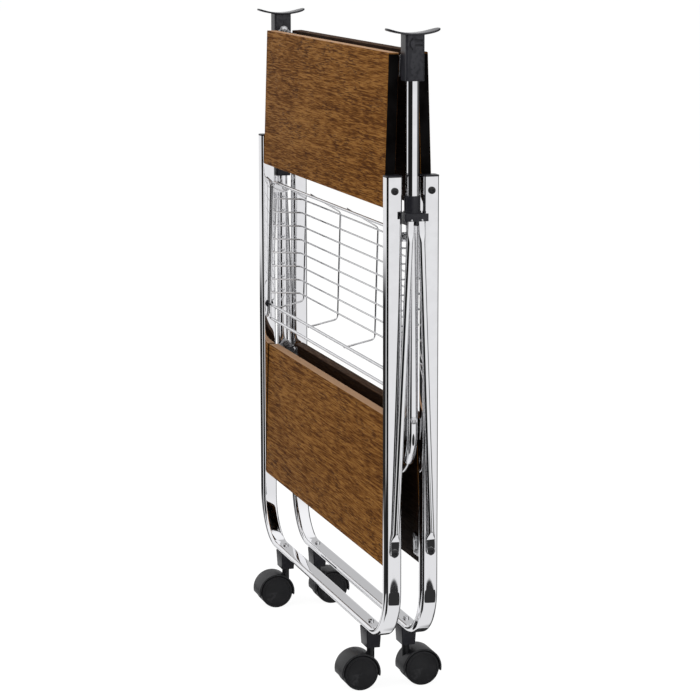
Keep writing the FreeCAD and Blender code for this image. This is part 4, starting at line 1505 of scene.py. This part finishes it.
@dataclass
class Strut(Assembly):
    """A strut whose ends are flattened from a round bar."""

    row: Row
    end: End
    low_x: float = 0.3718
    high_x: float = 0.3838
    bar_low_x: float = 0.3756
    bar_high_x: float = 0.3823
    radius: float = 0.005
    half_flat: float = 0.0015
    low_eye: float = 0.0075
    high_eye: float = 0.005
    low_flat: float = 0.015
    high_flat: float = 0.018
    taper: float = 0.016
    taper_steps: int = 12
    corner_share: float = 0.98
    least_tip_share: float = 1.05
    tip_steps: int = 8
    sharp: float = 50.0

    def build(self) -> None:
        """Loft the strut along its length and lean it into its corner."""
        lean, rise = LINKS.half_gap - LINKS.rivet_half_gap, LINKS.rivet_z - LINKS.lower_z
        low = self.half_end(self.low_eye, self.low_flat, self.low_x, self.bar_low_x, 1)
        high = self.half_end(self.high_eye, self.high_flat, self.high_x, self.bar_high_x, 0)
        length = math.hypot(lean, rise)
        loops = []
        for station, middle, half_x, half_y in low + [(length - row[0], *row[1:]) for row in high[::-1]]:
            corner = min(half_x, half_y) * self.corner_share
            loops.append(rounded_loop(half_x, half_y, corner, station, steps=6) + np.array([middle, 0, 0]))
        sine, cosine = lean / length, rise / length

        def place(points: np.ndarray) -> np.ndarray:
            """Lean the strut over its lower pivot and mirror it to its corner."""
            x, y, z = points.T
            return np.column_stack([self.end.value * x,
                                    self.row.value * (LINKS.half_gap - y * cosine - z * sine),
                                    LINKS.lower_z + z * cosine - y * sine])

        name = f"strut_{self.row.label}_{self.end.label}"
        self.shop.piece(f"chrome_{name}", stacked_loops(loops).moved(place), self.looks.chrome, name, name,
                        self.sharp)

    def half_end(self, eye: float, flat: float, flat_x: float, bar_x: float,
                 first: int) -> list[tuple[float, float, float, float]]:
        """Stations of one end, from its tip to the round bar.

        Args:
            eye: Radius of the flat end about its pivot.
            flat: Distance from the pivot to the end of the flat.
            flat_x: Middle X of the flat.
            bar_x: Middle X of the bar.
            first: First step of the taper that has a station.

        Returns:
            Distance from the pivot, middle X, half size along X and half size along Y.
        """
        least = self.half_flat * self.least_tip_share
        rows = [(-eye * cosine, flat_x, self.half_flat, max(eye * sine, least))
                for sine, cosine in quarter_turn(self.tip_steps)]
        for step in range(first, self.taper_steps + 1):
            share = step / self.taper_steps
            ease = share * share * (3 - 2 * share)
            sizes = [start + (finish - start) * ease for start, finish in
                     ((flat_x, bar_x), (self.half_flat, self.radius), (eye, self.radius))]
            rows.append((flat + self.taper * share, *sizes))
        return rows


@dataclass
class Caster(Assembly):
    """A twin-wheel caster under a frame."""

    row: Row
    end: End
    stem_x: float = 0.250
    trail: float = 0.021
    wheel_radius: float = 0.0275
    wheel_near: float = 0.0028
    wheel_far: float = 0.0218
    wheel_edge: float = 0.0028
    wheel_bore: float = 0.00305
    hub_radius: float = 0.009
    dish_depth: float = 0.0015
    dish_bevel: float = 0.0005
    rim_width: float = 0.0045
    groove_insets: Profile = ((0.0042, 0.0), (0.0046, 0.0005), (0.0052, 0.0005), (0.0056, 0.0002))
    bore_rest: float = 0.0025
    hood_radius: float = 0.031
    cavity_radius: float = 0.0285
    half_width: float = 0.0221
    hood_edge: float = 0.0009
    half_web: float = 0.0025
    web_overlap: float = 0.0004
    below_axle: float = 0.006
    boss_radius: float = 0.006
    boss_foot: float = 0.0015
    boss_top: float = 0.0635
    boss_edge: float = 0.0008
    boss_bore: float = 0.00405
    bore_depth: float = 0.008
    boss_floor_radii: tuple[float, float] = (0.00005, 0.0035)
    boss_steps: int = 36
    axle_radius: float = 0.003
    axle_half: float = 0.019
    axle_edge: float = 0.0004
    wheel_sharp: float = 30.0

    @property
    def label(self) -> str:
        """Name used in bodies and nodes."""
        return f"caster_{self.row.label}_{self.end.label}"

    @property
    def centre(self) -> Triple:
        """Middle of the axle."""
        y = self.row.value * (LINKS.half_gap + self.trail)
        return (self.end.value * self.stem_x, y, self.wheel_radius)

    def build(self) -> None:
        """Make the hood, the axle and both wheels."""
        swivel = self.label + "_swivel"
        hood = Shell.joined([self.band(), self.web()]).moved(lambda points: points * [1, self.row.value, 1])
        hood = Shell.joined([hood.shifted(self.centre), self.boss()])
        self.shop.piece(self.label + "_cover", hood, self.looks.hood, swivel, self.label + "_hood")
        axle = pin(self.axle_radius, -self.axle_half, self.axle_half, self.axle_edge, steps=24)
        self.shop.piece(self.label + "_pin", axle.moved(along_x(self.centre)), self.looks.zinc, swivel,
                        self.label + "_axle")
        for letter, sign in (("a", -1), ("b", 1)):
            name = f"{self.label}_wheel_{letter}"
            wheel = lathe(self.wheel_profile(), steps=72).moved(along_x(self.centre, sign))
            self.shop.piece(f"{self.label}_roller_{letter}", wheel, self.looks.wheel, name, name,
                            self.wheel_sharp)

    def wheel_profile(self) -> Profile:
        """Profile of a wheel as (radius, distance from the web)."""
        near, far, radius = self.wheel_near, self.wheel_far, self.wheel_radius
        bore, depth, dish = self.wheel_bore, far - self.bore_rest, near + self.dish_depth
        rim = radius - self.rim_width
        inside = [(0.0, depth), (bore, depth), (bore, near), (self.hub_radius, near),
                  (self.hub_radius + self.dish_bevel, dish), (rim - self.dish_bevel, dish), (rim, near)]
        groove = [(radius - inward, far - deep) for inward, deep in self.groove_insets]
        return [*inside, *rims(radius, near, far, self.wheel_edge, steps=6), *groove, (0.0, far)]

    def boss(self) -> Shell:
        """The boss that rises from the band round the stem, its foot following the band."""
        middle = (self.hood_radius + self.cavity_radius) / 2
        steps, foot, top = self.boss_steps, self.boss_foot, self.boss_top
        loops = [self.on_band(ring(radius, 0.0, steps), middle)
                 for radius in (*self.boss_floor_radii, self.boss_radius + foot)]
        for sine, cosine in quarter_turn(4)[1:]:
            wide = ring(self.boss_radius + foot * (1 - sine), 0.0, steps)
            lift = self.hood_radius - middle + foot * (1 - cosine)
            loops.append(self.on_band(wide, middle) + np.array([0.0, 0.0, lift]))
        edge, bore, bore_floor = self.boss_edge, self.boss_bore, top - self.bore_depth
        for radius, height in ((self.boss_radius, top - edge), (self.boss_radius - edge, top), (bore, top),
                               (bore, bore_floor), (self.boss_floor_radii[0], bore_floor)):
            loops.append(ring(radius, height, steps))
        stem = (self.end.value * self.stem_x, self.row.value * LINKS.half_gap, 0.0)
        return stacked_loops(loops).shifted(stem)

    def on_band(self, loop: np.ndarray, radius: float) -> np.ndarray:
        """Raise a loop about the stem onto the band.

        Args:
            loop: Points about the stem.
            radius: Radius about the axle that they are laid on.

        Returns:
            The raised points.
        """
        away = self.row.value * self.trail - loop[:, 1]
        height = self.wheel_radius + np.sqrt(radius * radius - away * away)
        return np.column_stack([loop[:, 0], loop[:, 1], height])

    def over_axle(self, radius: float, steps: int) -> np.ndarray:
        """Angles of an arc over the axle, whose ends are at the hood's lower edge."""
        start = -math.asin(self.below_axle / radius)
        return np.linspace(start, math.pi - start, steps + 1)

    def band(self) -> Shell:
        """The band that wraps over both wheels, about the axle at the origin."""
        half = self.half_width
        section = [(self.cavity_radius, -half), *rims(self.hood_radius, -half, half, self.hood_edge),
                   (self.cavity_radius, half)]
        return stacked_loops([np.array([(x, radius * math.cos(angle), radius * math.sin(angle))
                                        for radius, x in section])
                              for angle in self.over_axle(self.hood_radius, steps=56)])

    def web(self) -> Shell:
        """The middle web that holds the axle, about the axle at the origin."""
        radius = self.cavity_radius + self.web_overlap
        return stacked_loops([np.array([(x, radius * math.cos(angle), radius * math.sin(angle))
                                        for angle in self.over_axle(radius, steps=40)])
                              for x in (-self.half_web, self.half_web)])


@dataclass(frozen=True)
class Gaze:
    """Sockets that tell where a reflected ray looks."""

    x: Any
    y: Any
    level_part: Any
    elevation: Any


@dataclass(frozen=True)
class Flag:
    """A dark or light zone in what polished surfaces reflect. Its angles are in degrees."""

    azimuth: float
    half_width: float
    low: float
    high: float
    level: float
    soft: float = 2.0
    oval: bool = False

    def mask(self, writer: NodeWriter, gaze: Gaze) -> Any:
        """Mask of the flag."""
        return self.oval_mask(writer, gaze) if self.oval else self.box_mask(writer, gaze)

    def box_mask(self, writer: NodeWriter, gaze: Gaze) -> Any:
        """Mask with straight sides.

        Args:
            writer: The world's writer.
            gaze: Where the ray looks.

        Returns:
            Socket with the mask.
        """
        angle = math.radians(self.azimuth)
        toward = writer.math("ADD", writer.math("MULTIPLY", gaze.x, math.cos(angle)),
                             writer.math("MULTIPLY", gaze.y, math.sin(angle)))
        turn = writer.math("ARCCOSINE", writer.math("DIVIDE", toward, gaze.level_part))
        off = writer.math("MULTIPLY", turn, math.degrees(1))
        inside = writer.ramp(off, self.half_width + self.soft, self.half_width - self.soft)
        under = writer.ramp(gaze.elevation, self.high + self.soft, self.high - self.soft)
        over = writer.ramp(gaze.elevation, self.low - self.soft, self.low + self.soft)
        return writer.math("MULTIPLY", inside, writer.math("MULTIPLY", under, over))

    def oval_mask(self, writer: NodeWriter, gaze: Gaze) -> Any:
        """Oval mask that keeps its place across a bent leg.

        Args:
            writer: The world's writer.
            gaze: Where the ray looks.

        Returns:
            Socket with the mask.
        """
        offset = writer.math("SUBTRACT", gaze.y, math.sin(math.radians(self.azimuth)))
        across = writer.math("DIVIDE", offset, math.sin(math.radians(self.half_width)))
        rise = writer.math("SUBTRACT", gaze.elevation, (self.high + self.low) / 2)
        up = writer.math("DIVIDE", rise, (self.high - self.low) / 2)
        soft = self.soft / self.half_width
        return writer.ramp(writer.length(across, up), 1.0 + soft, 1.0 - soft)


@dataclass(frozen=True)
class Lamp:
    """A square soft lamp that looks at the cart."""

    name: str
    spot: Triple
    size: float
    power: float
    target: Triple = (0.0, 0.0, 0.45)

    def build(self) -> None:
        """Make the lamp, unseen by polished surfaces."""
        light = bpy.data.lights.new(self.name, "AREA")
        light.size = self.size
        light.energy = self.power
        lamp = linked(self.name, light)
        lamp.location = self.spot
        aim = Vector(self.target) - Vector(self.spot)
        lamp.rotation_euler = aim.to_track_quat("-Z", "Y").to_euler()
        lamp.visible_glossy = False


@dataclass
class Studio:
    """Floor, light, surroundings and camera."""

    floor_size: float = 60.0
    floor_color: Triple = (0.9, 0.9, 0.9)
    floor_glow: float = 1.09
    floor_glow_share: float = 0.86
    plain_level: float = 0.55
    least_level_part: float = 1e-4
    sky_angles: tuple[float, float] = (-30.0, 60.0)
    sky_levels: tuple[float, float] = (0.80, 0.98)
    mirrored_color: Triple = (0.985, 0.985, 1.0)
    focal_pixels: float = 2607.2
    image_pixels: float = 700.0
    sensor: float = 36.0
    clip_end: float = 200.0
    eye: Triple = (3.9734, -1.1716, 1.2005)
    yaw: float = math.radians(16.609)
    pitch: float = math.radians(9.795)
    roll: float = math.radians(-0.077)
    lamps: tuple[Lamp, ...] = (
        Lamp("key_lamp", (1.6, -2.6, 2.6), size=2.4, power=62.0),
        Lamp("top_lamp", (-0.4, 0.3, 3.4), size=2.6, power=40.0),
        Lamp("fill_lamp", (3.2, 1.4, 1.3), size=2.0, power=22.0),
    )
    flags: tuple[Flag, ...] = (
        Flag(-59.5, 42.5, -60.0, 40.0, 0.012, 3.0),
        Flag(110.0, 36.0, -60.0, 40.0, 0.08, 8.0),
        Flag(165.0, 20.0, 6.0, 30.0, 0.53, 3.0),
        Flag(-163.0, 24.0, -13.5, -8.0, 0.02, 0.8),
        Flag(-131.8, 31.8, -15.9, -13.0, 0.02, 0.5),
        Flag(17.0, 22.0, -41.5, -16.12, 0.03, 0.1, oval=True),
    )

    def build(self) -> None:
        """Make the floor, world, lamps and camera."""
        self.floor()
        self.world()
        for lamp in self.lamps:
            lamp.build()
        self.camera()
        bpy.context.scene.view_settings.view_transform = "Standard"

    def floor(self) -> None:
        """A wide pale floor with soft shadows, bright to the camera and unseen in reflections."""
        half = self.floor_size / 2
        corners = [(-half, -half, 0.0), (half, -half, 0.0), (half, half, 0.0), (-half, half, 0.0)]
        floor = mesh_object("studio_floor", corners, faces=[(0, 1, 2, 3)])
        material = bpy.data.materials.new("pale_floor")
        material.use_nodes = True
        writer = NodeWriter(material.node_tree)
        path = writer.node("ShaderNodeLightPath").outputs
        diffuse = writer.first("ShaderNodeBsdfDiffuse", {"Color": opaque(self.floor_color)})
        glow = writer.first("ShaderNodeEmission", {"Color": WHITE, "Strength": self.floor_glow})
        clear = writer.first("ShaderNodeBsdfTransparent", {})
        direct = writer.either(path["Is Camera Ray"], diffuse,
                               writer.either(self.floor_glow_share, diffuse, glow))
        seen = writer.either(path["Is Glossy Ray"], direct, clear)
        writer.node("ShaderNodeOutputMaterial", {0: seen})
        floor.data.materials.append(material)

    def world(self) -> None:
        """White surroundings, with flags that only polished surfaces see."""
        world = bpy.data.worlds.new("studio")
        bpy.context.scene.world = world
        world.use_nodes = True
        writer = NodeWriter(world.node_tree)
        place = writer.node("ShaderNodeTexCoord").outputs["Generated"]
        x, y, z = writer.node("ShaderNodeSeparateXYZ", {0: place}).outputs
        elevation = writer.math("MULTIPLY", writer.math("ARCSINE", z), math.degrees(1))
        level_part = writer.math("MAXIMUM", writer.length(x, y), self.least_level_part)
        gaze = Gaze(x, y, level_part, elevation)
        level = writer.ramp(elevation, *self.sky_angles, *self.sky_levels)
        for flag in self.flags:
            mask = flag.mask(writer, gaze)
            kept = writer.math("MULTIPLY", level, writer.math("SUBTRACT", 1.0, mask))
            level = writer.math("ADD", kept, writer.math("MULTIPLY", mask, flag.level))
        mirrored, plain, white = (
            writer.first("ShaderNodeBackground", {"Color": color, "Strength": strength})
            for color, strength in ((opaque(self.mirrored_color), level), (WHITE, self.plain_level),
                                    (WHITE, 1.0)))
        path = writer.node("ShaderNodeLightPath").outputs
        bounced = writer.either(path["Is Glossy Ray"], plain, mirrored)
        writer.node("ShaderNodeOutputWorld", {0: writer.either(path["Is Camera Ray"], bounced, white)})

    def camera(self) -> None:
        """The camera at the photograph's place."""
        forward = Vector((-math.cos(self.pitch) * math.cos(self.yaw),
                          math.cos(self.pitch) * math.sin(self.yaw), -math.sin(self.pitch)))
        right = Vector((math.sin(self.yaw), math.cos(self.yaw), 0.0))
        up = right.cross(forward)
        turned_right = right * math.cos(self.roll) + up * math.sin(self.roll)
        turned_up = up * math.cos(self.roll) - right * math.sin(self.roll)
        data = bpy.data.cameras.new("photo_camera")
        data.sensor_width = self.sensor
        data.lens = self.focal_pixels / self.image_pixels * self.sensor
        data.clip_end = self.clip_end
        camera = linked("photo_camera", data)
        basis = Matrix((turned_right, turned_up, -forward)).transposed().to_4x4()
        camera.matrix_world = Matrix.Translation(self.eye) @ basis
        bpy.context.scene.camera = camera


def main() -> None:
    """Build the cart's pieces in order, then the studio."""
    logging.basicConfig(level=logging.INFO, format="%(name)s %(message)s")
    shop = Workshop()
    for row in Row:
        UFrame(shop, row).build()
    CentreFrame(shop).build()
    for tier in Tier:
        for row in Row:
            HalfShelf(shop, tier, row).build()
    Basket(shop).build()
    for end in End:
        Slider(shop, end).build()
        for row in Row:
            Strut(shop, row, end).build()
            Caster(shop, row, end).build()
    Studio().build()
    bpy.context.view_layer.update()


if __name__ == "__main__":
    main()
